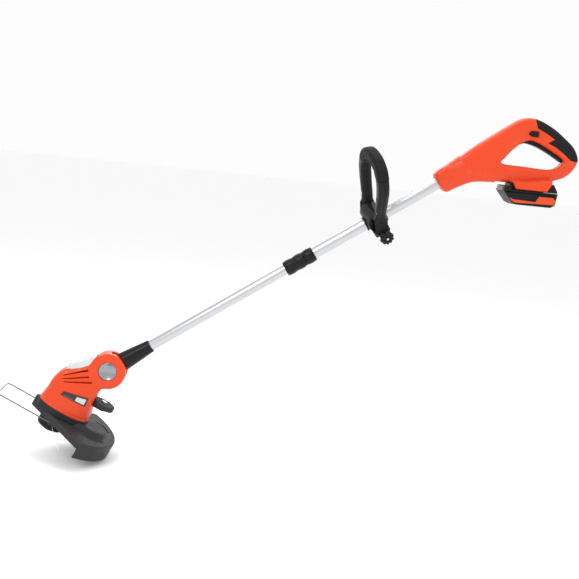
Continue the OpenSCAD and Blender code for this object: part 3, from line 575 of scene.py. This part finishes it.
solid("trigger", lambda x, y, z: slab(outline(TRIGGER_SIDE, x, z), abs(y) - 9, 2.5),
      (150, -11, 60), (256, 11, 112), 0.8, HANDLE, "trigger", "black_plastic", ["trigger_lever"])


def lock_off(x, y, z):
    f = slab(outline(LOCK_SIDE, x, z), np.maximum(-24 - y, y - 21), 1.2)
    for px in (177.5, 181.5, 185.5):
        f = cut(f, np.hypot(x - px, np.minimum(abs(y + 24.2), abs(y - 21.2))) - 1.0, 0.4)
    return f


solid("lock_off_slider", lock_off, (169, -26, 111), (192, 23, 125), 0.5, HANDLE, "lock_off",
      "black_gloss", ["lock_off_button"])


def dock_end(x, y, z):
    f = slab(outline([[220, 1.2], [240, 1.2], [240, 4], [231, 19], [228.3, 17.7], [219.8, 2.3]], x, z),
             abs(y) - 36, 1.2)
    f = join(f, block(x, y, z, (221.8, -22, 2.5), (230, 22, 14.2), 0.5), 0.5)
    for c in (-12, -4, 4, 12):
        f = np.minimum(f, block(x, y, z, (212, c - 0.5, 7), (223, c + 0.5, 12), 0.1))
    return f


solid("dock_end_cap", dock_end, (210, -38, -1), (243, 38, 21), 0.6, HANDLE, "handle", "black_plastic",
      ["terminal_block"])

# ------------------------------------------------------------------ battery
BATTERY_SIDE = [[129, -3], [148, -25], [158, -29], [229, -29], [238, -24], [241, -3]]
BAND_SIDE = [[140, -13.5], [150, -18], [196, -19.5], [203, -8], [232, -8], [238, -13], [236, -23],
             [156, -25.2], [147, -22]]
B_HALF = 37.5


def battery_lower(x, y, z):
    side = outline(BATTERY_SIDE, x, z)
    f = slab(side, abs(y) - B_HALF, 4)
    f = np.maximum(f, z + 3.1)
    # A shallow groove all round above the band, and ribs on the sloping nose
    f = f + 0.5 * np.exp(-((z + 5.2) / 0.7) ** 2)
    ribs = 0.35 * (0.5 + 0.5 * np.cos((abs(y) - 30) * 2.2)) * step(26, 27, abs(y)) * step(-34, -35, -abs(y))
    f = f + ribs * step(-157, -151, -x)
    band = outline(BAND_SIDE, x, z)
    return cut(f, np.maximum(band - 0.1, B_HALF - 1 - abs(y)), 0.2)


def battery_upper(x, y, z):
    f = block(x, y, z, (129, -B_HALF, -3), (241, B_HALF, 0.5), 1)
    f = join(f, block(x, y, z, (131, -B_HALF, -2), (144, B_HALF, 9), 2.5), 2)
    f = np.minimum(f, block(x, y, z, (143.6, -25, 0), (214, 25, 13.8), 0.8))
    f = np.minimum(f, block(x, y, z, (184, -29, 5.3), (214, 29, 13.8), 0.8))
    f = cut(f, block(x, y, z, (125, -24, -6), (141, 24, 8), 0.6), 0.5)
    for c in (-12, -4, 4, 12):
        f = cut(f, block(x, y, z, (201, c - 1.6, 5), (218, c + 1.6, 13), 0.3), 0.3)
    return f


solid("battery_lower_case", battery_lower, (126, -39, -31), (244, 39, -1), 0.9, HANDLE, "battery",
      "battery_black", ["battery_case_lower"])
solid("battery_upper_case", battery_upper, (126, -39, -5), (244, 39, 16), 0.9, HANDLE, "battery",
      "battery_black", ["battery_case_upper"])
for s, name in ((-1, "left"), (1, "right")):
    solid("battery_band_" + name,
          lambda x, y, z: slab(outline(BAND_SIDE, x, z) + 0.25,
                               np.maximum(s * y - B_HALF - 0.45, B_HALF - 0.9 - s * y), 0.35),
          (137, min(s * 36, s * 38.6), -27), (241, max(s * 36, s * 38.6), -6), 0.6, HANDLE, "battery",
          "battery_orange", ["battery_band"])


def battery_button(x, y, z):
    f = block(x, y, z, (127.5, -23.7, -2.7), (137, 23.7, 7.2), 1.5)
    for c in (-0.5, 2.5, 5.5):
        f = cut(f, np.maximum(np.hypot(x - 127.2, z - c) - 0.9, abs(y) - 20), 0.4)
    return f


solid("battery_release_button", battery_button, (125.5, -25, -4), (139, 25, 9), 0.6, HANDLE,
      "battery_latch", "release_grey", ["battery_release"])

# ------------------------------------------------------------------ shaft
COLLAR = 428                 # the twist collar's lower end, along the shaft from the pivot
TUBE_START = COLLAR + 42     # the upper tube stands inside the collar's base
TUBE_END = NOSE_AT + 60      # and runs on into the handle
LOWER_TUBE = (50, 520)


def tube(name, start, end, outside, inside, body, node):
    lathe(name, eased([(start, outside), (end, outside), (end, inside), (start, inside)], 0.4),
          SHAFT_FRAME, 0, (0, 0, 0), body, "tube_aluminium", [node])


tube("upper_tube_skin", TUBE_START, TUBE_END, UPPER_R, 11.4, "handle", "upper_tube")
tube("lower_tube_skin", *LOWER_TUBE, LOWER_R, 9.9, "lower_shaft", "lower_tube")


def barrel(x0, x1, r0=15.0, r1=16.5, n=10):
    return [(x0 + (x1 - x0) * i / n, r0 + (r1 - r0) * math.sin(math.pi * i / n)) for i in range(n + 1)]


lathe("collar_twist_nut", [(COLLAR, LOWER_R + 0.3), (COLLAR, 14)] + barrel(COLLAR + 0.6, COLLAR + 22)
      + barrel(COLLAR + 23.4, COLLAR + 44.8)
      + [(COLLAR + 45.4, 14.7), (COLLAR + 8, 14.5), (COLLAR + 8, 11.3)],
      SHAFT_FRAME, 0, (0, 0, 0), "collar", "black_gloss", ["collar_nut"], 144,
      (COLLAR + 4, COLLAR + 42, 24, 0.35))
lathe("collar_fixed_base", [(COLLAR + 27, 12.5), (COLLAR + 27, 14.2), (COLLAR + 46, 14.2)]
      + barrel(COLLAR + 46, COLLAR + 67.4) + [(COLLAR + 68, 14.4), (COLLAR + 68, UPPER_R + 0.05)],
      SHAFT_FRAME, 0, (0, 0, 0), "handle", "black_gloss", ["collar_base"])

KNUCKLE_R, KNUCKLE_HALF = 29, 10


def socket(x, y, z):
    r = 20 - 6.5 * np.clip((x - 32) / 71, 0, 1)
    cone = slab(np.hypot(y, z) - r, np.maximum(32 - x, x - 103), 1.6)
    cone = cut(cone, np.maximum(np.hypot(x, z) - 38.8, abs(y) - 60), 1)
    neck = np.maximum(np.maximum(-x, x - 46), np.maximum(abs(y) - KNUCKLE_HALF, abs(z) - 12))
    knuckle = rod(x, z, y, -KNUCKLE_HALF, KNUCKLE_HALF, KNUCKLE_R, 1)
    f = join(join(cone, neck, 1.5), knuckle, 1)
    f = cut(f, np.maximum(np.hypot(x, z) - 10.1, abs(y) - 60), 0.5)
    f = cut(f, np.maximum(np.hypot(x, z) - 20.2, y + KNUCKLE_HALF - 2), 0.3)
    f = cut(f, np.maximum(np.hypot(y, z) - LOWER_R - 0.05, 50 - x), 0.6)
    f = cut(f, np.maximum(np.hypot(x - 84, y) - 3.6, z + 13), 0.5)
    # Two rings round the mouth
    f = f + 0.3 * sum(np.exp(-((x - c) / 0.8) ** 2) for c in (96, 92))
    return f


solid("shaft_socket_body", socket, (-31, -22, -31), (105, 22, 31), 0.9, SHAFT_FRAME, "lower_shaft",
      "black_gloss", ["shaft_socket"])

# ------------------------------------------------------------------ second handle
LOOP_OUT = open_curve([[-47, 0], [-50, 29], [-60, 62], [-66, 94], [-55, 129], [-28, 147], [0, 151]])
LOOP_IN = open_curve([[0, 126], [-20, 123], [-36, 111], [-42, 92], [-39, 60], [-32, 29], [-31, 0]])
TURN = np.array([-1, 1])
LOOP_RING = np.concatenate([LOOP_OUT, (LOOP_OUT[:-1] * TURN)[::-1], (LOOP_IN[1:] * TURN)[::-1], LOOP_IN])
LOOP_SCREWS = [[-44, 34], [44, 34], [-52, 70], [52, 70], [-30, 125], [30, 125]]
HUB_R, HUB_IN, HUB_OUT = 20, 30.6, 47
GRIP_FROM = 112


def loop_outer(x, y, z):
    ring = outline(LOOP_RING, y, z)
    f = slab(ring, abs(x) - 12, 8)
    hubs = rod(x, z, abs(y), HUB_IN, HUB_OUT, HUB_R, 2.5)
    return join(f, hubs, 7)


def loop_half(side):
    def field(x, y, z):
        f = loop_outer(x, y, z)
        f = np.maximum(f, HUB_IN - abs(y) - np.clip(z - 20, 0, 50) * 4)
        skin = np.maximum(GRIP_FROM - z, -(f + 2))
        f = cut(f, skin, 0.3)
        f = cut(f, np.maximum(np.hypot(x, z) - 8.1, abs(y) - 44.3), 0.4)
        f = cut(f, np.maximum(np.hypot(x, z) - 13, 45 - abs(y)), 0.5)
        if side < 0:
            for py, pz in LOOP_SCREWS:
                f = cut(f, np.maximum(np.hypot(y - py, z - pz) - 3, x + 9), 0.8)
        f = f + 0.5 * np.exp(-(x / 0.7) ** 2)
        return np.maximum(f, 0.05 - side * x)
    return field


solid("loop_front", loop_half(-1), (-14, -69, -22), (1.5, 69, 154), FINE, LOOP_FRAME, "loop",
      "black_gloss", ["loop_front_shell"])
solid("loop_rear", loop_half(1), (-1.5, -69, -22), (14, 69, 154), FINE, LOOP_FRAME, "loop",
      "black_gloss", ["loop_rear_shell"])


def loop_skin(x, y, z):
    f = loop_outer(x, y, z)
    g = meet(f - 0.35, GRIP_FROM + 0.3 - z, 1.2)
    g = np.maximum(g, -(f + 1.95))
    for py, pz in LOOP_SCREWS:
        g = cut(g, np.maximum(np.hypot(y - py, z - pz) - 3, x + 5), 0.8)
    return g + 0.4 * np.exp(-(x / 0.8) ** 2) * step(-3, -1, f)


solid("loop_grip_skin", loop_skin, (-14, -69, 89), (14, 69, 154), 0.8, LOOP_FRAME, "loop", "soft_grip",
      ["loop_soft_grip"])
for s, name in ((-1, "left"), (1, "right")):
    lathe("hub_cap_" + name, eased([(s * 45, 0.01), (s * 45, 12.8), (s * 47.6, 12.8), (s * 47.6, 11.4),
                                    (s * 47.1, 11), (s * 47.1, 9.6), (s * 47.6, 9.2),
                                    (s * 47.3, 0.01)], 0.35),
          LOOP_FRAME, 1, (0, 0, 0), "loop", "black_plastic", ["loop_hub_caps"], 72)

CLAMP_HALF, CLAMP_R, LINER_R, CLAMP_CUT = 30, 21, 14, -9
BOLT_Z, KNOB_Y, KNOB_T = -17.5, -49.6, 10


def clamp_core(x, y, z):
    up = z - HUB_Z
    f = rod(x, up, abs(y), -1, CLAMP_HALF, CLAMP_R, 2.5)
    f = join(f, block(x, y, z, (-17, -CLAMP_HALF, -26), (17, CLAMP_HALF, 0), 3.5), 2)
    ribs = 0.45 * (0.5 + 0.5 * np.cos(12 * np.arctan2(up, x)))
    ribs = ribs * step(24, 25, abs(y)) * step(14, 16, np.hypot(x, up))
    f = f + ribs * (z > -6)
    return cut(f, np.hypot(y, z) - LINER_R - 0.05 + 0 * x, 0.8)


def clamp_top(x, y, z):
    f = np.maximum(clamp_core(x, y, z), CLAMP_CUT - z)
    return np.minimum(f, rod(x, z - HUB_Z, abs(y), 28, 44, 8, 0.8))


def clamp_bottom(x, y, z):
    f = np.maximum(clamp_core(x, y, z), z - CLAMP_CUT + 0.4)
    f = cut(f, np.hypot(x, z - BOLT_Z) - 2.55 + 0 * y, 0.5)
    return cut(f, np.maximum(np.hypot(x, z - BOLT_Z) - 6.1, 27 - y), 0.5)


solid("clamp_top", clamp_top, (-23, -46, -11), (23, 46, 30), 0.8, CLAMP_FRAME, "clamp", "black_gloss",
      ["clamp_upper_half"])
solid("clamp_bottom", clamp_bottom, (-23, -32, -28), (23, 32, -8), 0.8, CLAMP_FRAME, "clamp", "black_gloss",
      ["clamp_lower_half"])


def knob(x, y, z):
    dz = z - BOLT_Z
    r = np.hypot(x, dz)
    lobes = 13.4 + 1.3 * np.cos(10 * np.arctan2(dz, x))
    f = slab((r - lobes) * 0.85, np.maximum(KNOB_Y - KNOB_T - y, y - KNOB_Y), 1.6)
    f = np.minimum(f, np.maximum(r - 3.8, np.maximum(KNOB_Y - 3 - y, y + CLAMP_HALF + 0.3)))
    f = cut(f, np.hypot(x, dz) - 2.55 + 0 * y, 0.3)
    f = cut(f, np.maximum(r - 6, y - KNOB_Y + KNOB_T - 2), 0.8)
    return f + 0.35 * np.exp(-((r - 9) / 0.7) ** 2) * step(0, 1, KNOB_Y - KNOB_T + 1 - y)


solid("clamp_knob_lobed", knob, (-16, -61, -34), (16, -29, -1), 0.5, CLAMP_FRAME, "knob", "knob_black",
      ["clamp_knob"])

# ------------------------------------------------------------------ cutting head
PLAN = closed_curve([[-49, 0], [-43, -24], [-22, -40], [8, -44.5], [36, -40], [57, -26], [66, 0], [57, 26],
                     [36, 40], [8, 44.5], [-22, 40], [-43, 24]])
HEAD_SIDE = closed_curve([[-52, 50], [0, 50], [66, 50], [67, 72], [60, 90], [56, 112], [57, 134], [70, 160],
                          [60, 180], [30, 186], [12, 170], [-6, 152], [-27, 138], [-38, 122], [-45, 101],
                          [-46, 82]])
HEAD_FRONT = closed_curve([[-46, 50], [0, 49], [46, 50], [45.5, 68], [40, 96], [30, 128], [25, 150],
                           [24, 190], [0, 192], [-24, 190], [-25, 150], [-30, 128], [-40, 96], [-45.5, 68]])
DRUM_R, DRUM_HALF, BUTTON_R = 37.5, 24, 19
NECK_ANGLE, MOUTH_HALF = 60.3, 49    # degrees round the drum: where the neck lies, and half its slot
SEAM_Z, BASE_Z = 56, 43
COVER_SPOTS = [[-20, 147], [-9, 158], [2, 169], [12, 181]]
VENTS = [[[-26, 124], [13.5, 157]], [[-24, 117], [22, 146]], [[-19, 113], [33, 138.5]]]
FRONT_SLOTS = (98, 106)
BADGE = [[-11, 88], [46, 89], [44, 109], [-8, 98]]
WHEEL_X, WHEEL_Z, WHEEL_R = 75, (97, 108), 25.5
HEAD_SCREWS = [[-34, 70], [52, 66], [40, 125], [-20, 132]]


def wedge(a, b, r0=0.7, r1=2.0):
    (ax, az), (bx, bz) = a, b
    size = math.hypot(bx - ax, bz - az)
    nx, nz = (az - bz) / size, (bx - ax) / size
    return [[ax - r0 * nx, az - r0 * nz], [bx - r1 * nx, bz - r1 * nz], [bx + r1 * nx, bz + r1 * nz],
            [ax + r0 * nx, az + r0 * nz]]


def head_body(x, y, z):
    f = meet(outline(PLAN, x, y), outline(HEAD_FRONT, y, z), 10)
    return meet(f, outline(HEAD_SIDE, x, z), 10)


def head_drum(x, y, z, grow=0.0):
    return rod(x - DRUM_X, z - DRUM_Z, abs(y), -1, DRUM_HALF + grow, DRUM_R + grow, 3)


def cover_field(x, y, z):
    lobes = [rod(x - px, z - pz, abs(y), -1, 22, 9, 5) for px, pz in COVER_SPOTS]
    f = lobes[0]
    for g in lobes[1:]:
        f = join(f, g, 1.2)
    return f


def head_half(side):
    def field(x, y, z):
        body = head_body(x, y, z)
        drum = head_drum(x, y, z)
        f = join(body, drum, 6)
        f = np.maximum(f, SEAM_Z - z)
        f = cut(f, np.maximum(np.maximum(body + 2.6, 0.4 - drum), z - 113), 0.3)
        dx, dz = x - DRUM_X, z - DRUM_Z
        r = np.hypot(dx, dz)
        f = cut(f, np.maximum(r - KNUCKLE_R - 1, abs(y) - KNUCKLE_HALF - 0.5), 0.4)
        f = cut(f, np.maximum(r - 10, abs(y) - 60), 0.3)
        f = cut(f, np.maximum(r - BUTTON_R - 0.35, 12.5 - abs(y)), 0.8)
        mouth = np.maximum(abs(np.degrees(np.arctan2(dz, dx)) - NECK_ANGLE) - MOUTH_HALF,
                           abs(y) - KNUCKLE_HALF - 0.5)
        f = cut(f, np.maximum(mouth * 0.5, r - 60), 0.3)
        f = cut(f, np.maximum(cover_field(x, y, z) - 0.3, -drum), 0.3)
        for a, b in VENTS:
            f = cut(f, np.maximum(outline(wedge(a, b), x, z), np.maximum(-(body + 7), 8 - abs(y))), 0.8)
        for s in FRONT_SLOTS:
            f = cut(f, np.maximum(np.maximum(abs(z - s - 2) - 2, abs(y) - 14),
                                  np.maximum(x + 20, -(body + 5))), 0.5)
        f = cut(f, np.maximum(np.maximum(outline(BADGE, x, z) - 0.2, -(body + 0.9)), 28 - abs(y)), 0.4)
        pocket = np.maximum(np.hypot(x - WHEEL_X, y) - WHEEL_R - 1.5,
                            np.maximum(WHEEL_Z[0] - 1.5 - z, z - WHEEL_Z[1] - 1.5))
        f = cut(f, pocket, 0.8)
        f = cut(f, block(x, y, z, (40, -9.3, 90), (90, 9.3, 98), 0.3), 0.3)
        if side > 0:
            for px, pz in HEAD_SCREWS:
                f = cut(f, np.maximum(np.hypot(x - px, z - pz) - 3.2, 22 - y), 0.5)
        # A crease above the foot
        f = f + 0.7 * np.exp(-((z - 62) / 0.9) ** 2) * (body > -2)
        return np.maximum(f, 0.08 - side * y)
    return field


solid("head_left_shell", head_half(-1), (-56, -49, 53), (90, 1.5, 215), 0.8, HEAD, "head",
      "orange_plastic", ["head_shell_left"])
solid("head_right_shell", head_half(1), (-56, -1.5, 53), (90, 49, 215), 0.8, HEAD, "head",
      "orange_plastic", ["head_shell_right"])

# Labels: a dark plate with a pale block and a stripe, no lettering
PLATES = (("side_badge", BADGE, -0.85, 0.0, "badge_black", 0.35, ["side_badges"]),
          ("badge_block", [[21, 91.5], [42, 92], [41, 104.5], [21, 100.5]], -0.3, 0.2, "cover_white",
           0.0, []),
          ("badge_stripe", [[-7, 90], [20, 90.2], [20, 92.2], [-7, 91.6]], -0.3, 0.15, "release_grey",
           0.0, []))
for name, shape, inner, outer, slot, margin, nodes in PLATES:
    for s, side in ((-1, "left"), (1, "right")):
        solid(name + "_" + side,
              lambda x, y, z: np.maximum(np.maximum(outline(shape, x, z) + margin,
                                                    head_body(x, y, z) - outer),
                                         -(head_body(x, y, z) - inner)),
              (-15, min(s * 25, s * 48), 85), (50, max(s * 25, s * 48), 112), 0.5, HEAD, "head", slot, nodes)


def top_cover(x, y, z):
    f = cut(cover_field(x, y, z), head_drum(x, y, z, 0.2), 0.6)
    wedge_side = outline([[-29, 141], [-20, 147], [12, 181], [22, 176], [12, 168], [-6, 150],
                          [-27, 136]], x, z)
    return join(f, cut(slab(wedge_side, abs(y) - 21, 1), head_drum(x, y, z, 0.2), 0.5), 1)


solid("top_cover_scalloped", top_cover, (-33, -24, 134), (26, 24, 194), 0.8, HEAD, "head", "cover_white",
      ["head_top_cover"])


def dish(q):
    """How far the pivot button's hollow face lies below its rim, at radius q."""
    return 5.0 * (1 - (q / 18.0) ** 2)


DISH_RINGS = (18, 17, 15.5, 13, 10, 7, 4, 2, 0.5, 0.01)
lathe("pivot_release_button", [(-5, 0.01), (-5, 6), (-17.5, 6), (-17.5, BUTTON_R - 0.4), (-18, BUTTON_R),
                               (-22.3, BUTTON_R), (-23, BUTTON_R - 0.5)]
      + [(-23 + dish(q), q) for q in DISH_RINGS],
      HEAD, 1, (DRUM_X, 0, DRUM_Z), "pivot_button", "pivot_silver", ["pivot_button"])
lathe("pivot_far_cap", [(12.5, 0.01), (12.5, BUTTON_R), (22.3, BUTTON_R), (23, BUTTON_R - 0.5)]
      + [(23 - dish(q), q) for q in DISH_RINGS],
      HEAD, 1, (DRUM_X, 0, DRUM_Z), "head", "pivot_silver", ["pivot_cap"])


def base_field(x, y, z):
    flat = outline(PLAN, x, y) - 0.8
    f = slab(flat, np.maximum(BASE_Z - 0.2 - z, z - SEAM_Z), 1.2)
    front = np.hypot(x + 42, y) - 14
    f = join(f, slab(np.maximum(front, x + 40), np.maximum(BASE_Z - 0.2 - z, z - SEAM_Z + 3), 2.5), 2)
    f = f + 0.4 * np.exp(-((z - 50) / 0.8) ** 2)
    hollow = np.maximum(np.maximum(flat + 4, BASE_Z + 3 - z), 19.5 - np.hypot(x, y))
    f = cut(f, hollow, 0.3)
    return cut(f, np.hypot(x, y) - 2.8 + 0 * z, 0.3)


solid("head_foot", base_field, (-60, -49, 41), (70, 49, 58), 0.9, HEAD, "head", "dark_plastic",
      ["head_base"])

# ------------------------------------------------------------------ guard
GUARD_R, SKIRT_H, BAND_H, PLATE_T, WALL = 137, 35, 13, 4, 2.5
CORNER = math.radians(58.4)
EDGE_FRONT = (-54, -9)
corner = (GUARD_R * math.cos(CORNER), -GUARD_R * math.sin(CORNER))
slope = (corner[1] - EDGE_FRONT[1]) / (corner[0] - EDGE_FRONT[0])
REACH = 254
FAN = [[EDGE_FRONT[0] - 2, 0], EDGE_FRONT, [EDGE_FRONT[0] + REACH, EDGE_FRONT[1] + slope * REACH],
       [EDGE_FRONT[0] + REACH, -EDGE_FRONT[1] - slope * REACH], [EDGE_FRONT[0], -EDGE_FRONT[1]]]
PLATEAU = [[30, -37], [92, -37], [104, -31], [112, -18], [114, 0], [112, 18], [104, 31], [92, 37], [30, 37]]
POCKETS = [[[56, 42], [66, 44], [100, 42], [110, 32], [118, 40], [104, 62], [84, 66], [64, 54]]]


def guard_top(x, y):
    """Height of the guard's upper face: a flat rim, hollows beside a raised middle."""
    raised = 9 * (1 - step(-5, 1.0, outline(PLATEAU, x, y)))
    sunk = np.zeros(np.broadcast(x, y).shape)
    for p in POCKETS:
        d = outline(p, x, abs(y))
        sunk = np.maximum(sunk, 1 - step(-3.5, 0.5, d))
    return BASE_Z + raised - 3.0 * sunk


def guard_field(x, y, z):
    plan = meet(np.hypot(x, y) - GUARD_R, outline(FAN, x, y), 4)
    r = np.hypot(x, y)
    top = guard_top(x, y)
    behind = np.degrees(np.arctan2(abs(y), x)) - 56.4
    shell = slab(plan, (z - top) * 0.8, 2.2)
    cavity = np.maximum(plan + WALL, (z - top) * 0.8 + PLATE_T * 0.8)
    f = cut(shell, cavity, 0.5)
    f = np.maximum(f, BASE_Z - BAND_H - z)
    skirt = np.maximum(abs(r - GUARD_R + WALL / 2) - WALL / 2,
                       np.maximum(np.maximum(BASE_Z - SKIRT_H - z, z - BASE_Z + 3),
                                  r * np.sin(np.radians(behind))))
    f = join(f, skirt, 0.3)
    f = f + 0.45 * np.exp(-((r - 129) / 0.9) ** 2) * step(BASE_Z - 3, BASE_Z - 1, z)
    pads = block(x, abs(y), z, (-2, 44, 24), (10, 52, 42), 1)
    f = join(f, pads, 1)
    f = cut(f, np.maximum(np.hypot(abs(y) - 48, z - 28) - 1.5, abs(x) - 60), 0.2)
    return cut(f, r - 12 + 0 * z, 0.5)


solid("guard_moulding", guard_field, (-60, -120, 5), (140, 120, 56), 1.25, HEAD, "head", "guard_plastic",
      ["guard"])

# ------------------------------------------------------------------ edging wheel, bail and spool
def wheel_field(x, y, z):
    dx = x - WHEEL_X
    r = np.hypot(dx, y)
    teeth = 0.9 * step(0.55, 0.8, 0.5 + 0.5 * np.cos(24 * np.arctan2(y, dx)))
    teeth = teeth * step(WHEEL_R - 6, WHEEL_R - 3, r)
    f = slab(r - WHEEL_R, np.maximum(WHEEL_Z[0] - z, z - WHEEL_Z[1]), 2.2) + teeth
    f = f + 0.8 * np.exp(-((r - 15) / 1.2) ** 2) * step(WHEEL_Z[1] - 2, WHEEL_Z[1] - 0.5, z)
    return cut(f, r - 3.1 + 0 * z, 0.3)


solid("edging_wheel", wheel_field, (47, -28, 95), (103, 28, 110), 0.7, HEAD, "wheel", "wheel_plastic",
      ["edge_wheel"])

WIRE_X, WIRE_Z, WIRE_Y, WIRE_BEND, WIRE_TAIL = -124, 28, 48, 10, 12


def arc(cx, cy, r, a0, a1, n=10):
    return [(cx + r * math.cos(math.radians(a0 + (a1 - a0) * i / n)),
             cy + r * math.sin(math.radians(a0 + (a1 - a0) * i / n))) for i in range(n + 1)]


flat = [(WIRE_TAIL, -WIRE_Y)] + arc(WIRE_X + WIRE_BEND, -WIRE_Y + WIRE_BEND, WIRE_BEND, 270, 180) \
    + arc(WIRE_X + WIRE_BEND, WIRE_Y - WIRE_BEND, WIRE_BEND, 180, 90) + [(WIRE_TAIL, WIRE_Y)]
wire("bail_wire_bent", [(px, py, WIRE_Z) for px, py in flat], 1.4, HEAD, "bail", "wire_steel", ["bail_wire"])

SPOOL_R = 29
lathe("spool_cup", eased([(5, 0.01), (5, SPOOL_R - 3), (8, SPOOL_R), (30, SPOOL_R), (34, SPOOL_R - 3),
                          (34, 9), (38, 9), (38, 2.6), (30, 2.6), (30, SPOOL_R - 2.5),
                          (6.5, SPOOL_R - 4), (6.5, 0.01)],
                         0.8), HEAD, 2, (0, 0, 0), "spool", "spool_black", ["spool_housing"], 144,
      (9, 29, 24, 0.7))
lathe("bump_button", eased([(0, 0.01), (0, 14), (3, 19), (6, 20), (8, 20), (8, 0.01)], 1.0), HEAD, 2,
      (0, 0, 0), "bump", "spool_black", ["bump_cap"], 96)


# ------------------------------------------------------------------ light and floor
def lamp(name, where, aim, size, power, color=(1, 1, 1)):
    data = bpy.data.lights.new(name, "AREA")
    data.size = size
    data.energy = power
    data.color = color
    obj = bpy.data.objects.new(name, data)
    scene.collection.objects.link(obj)
    obj.location = where
    obj.rotation_euler = (Vector(aim) - Vector(where)).to_track_quat("-Z", "Y").to_euler()
    return obj


MIDDLE = (0.45, 0.0, 0.35)
lamp("key", (-0.9, -2.0, 2.4), MIDDLE, 1.2, 30)
lamp("fill", (2.6, -1.6, 1.0), MIDDLE, 1.4, 8)
lamp("top", (0.5, 0.4, 2.8), MIDDLE, 1.6, 22)
lamp("rim", (0.2, 2.4, 1.4), MIDDLE, 1.4, 9)

world = bpy.data.worlds.new("studio")
scene.world = world
world.use_nodes = True
world.node_tree.nodes["Background"].inputs["Color"].default_value = (1, 1, 1, 1)
world.node_tree.nodes["Background"].inputs["Strength"].default_value = 0.98
scene.view_settings.view_transform = "Standard"

low, high = cad_box
floor_mesh = bpy.data.meshes.new("floor")
floor_z = low[2] - 0.004
FAR = 40.0
floor_corners = [(px * FAR, py * FAR, floor_z) for px, py in ((-1, -1), (1, -1), (1, 1), (-1, 1))]
floor_mesh.from_pydata(floor_corners, [], [(0, 1, 2, 3)])
floor = bpy.data.objects.new("floor", floor_mesh)
scene.collection.objects.link(floor)
floor_mesh.materials.append(material("floor_pale", (0.96, 0.96, 0.96), 0.7, mottle=0.01, specular=0.2))
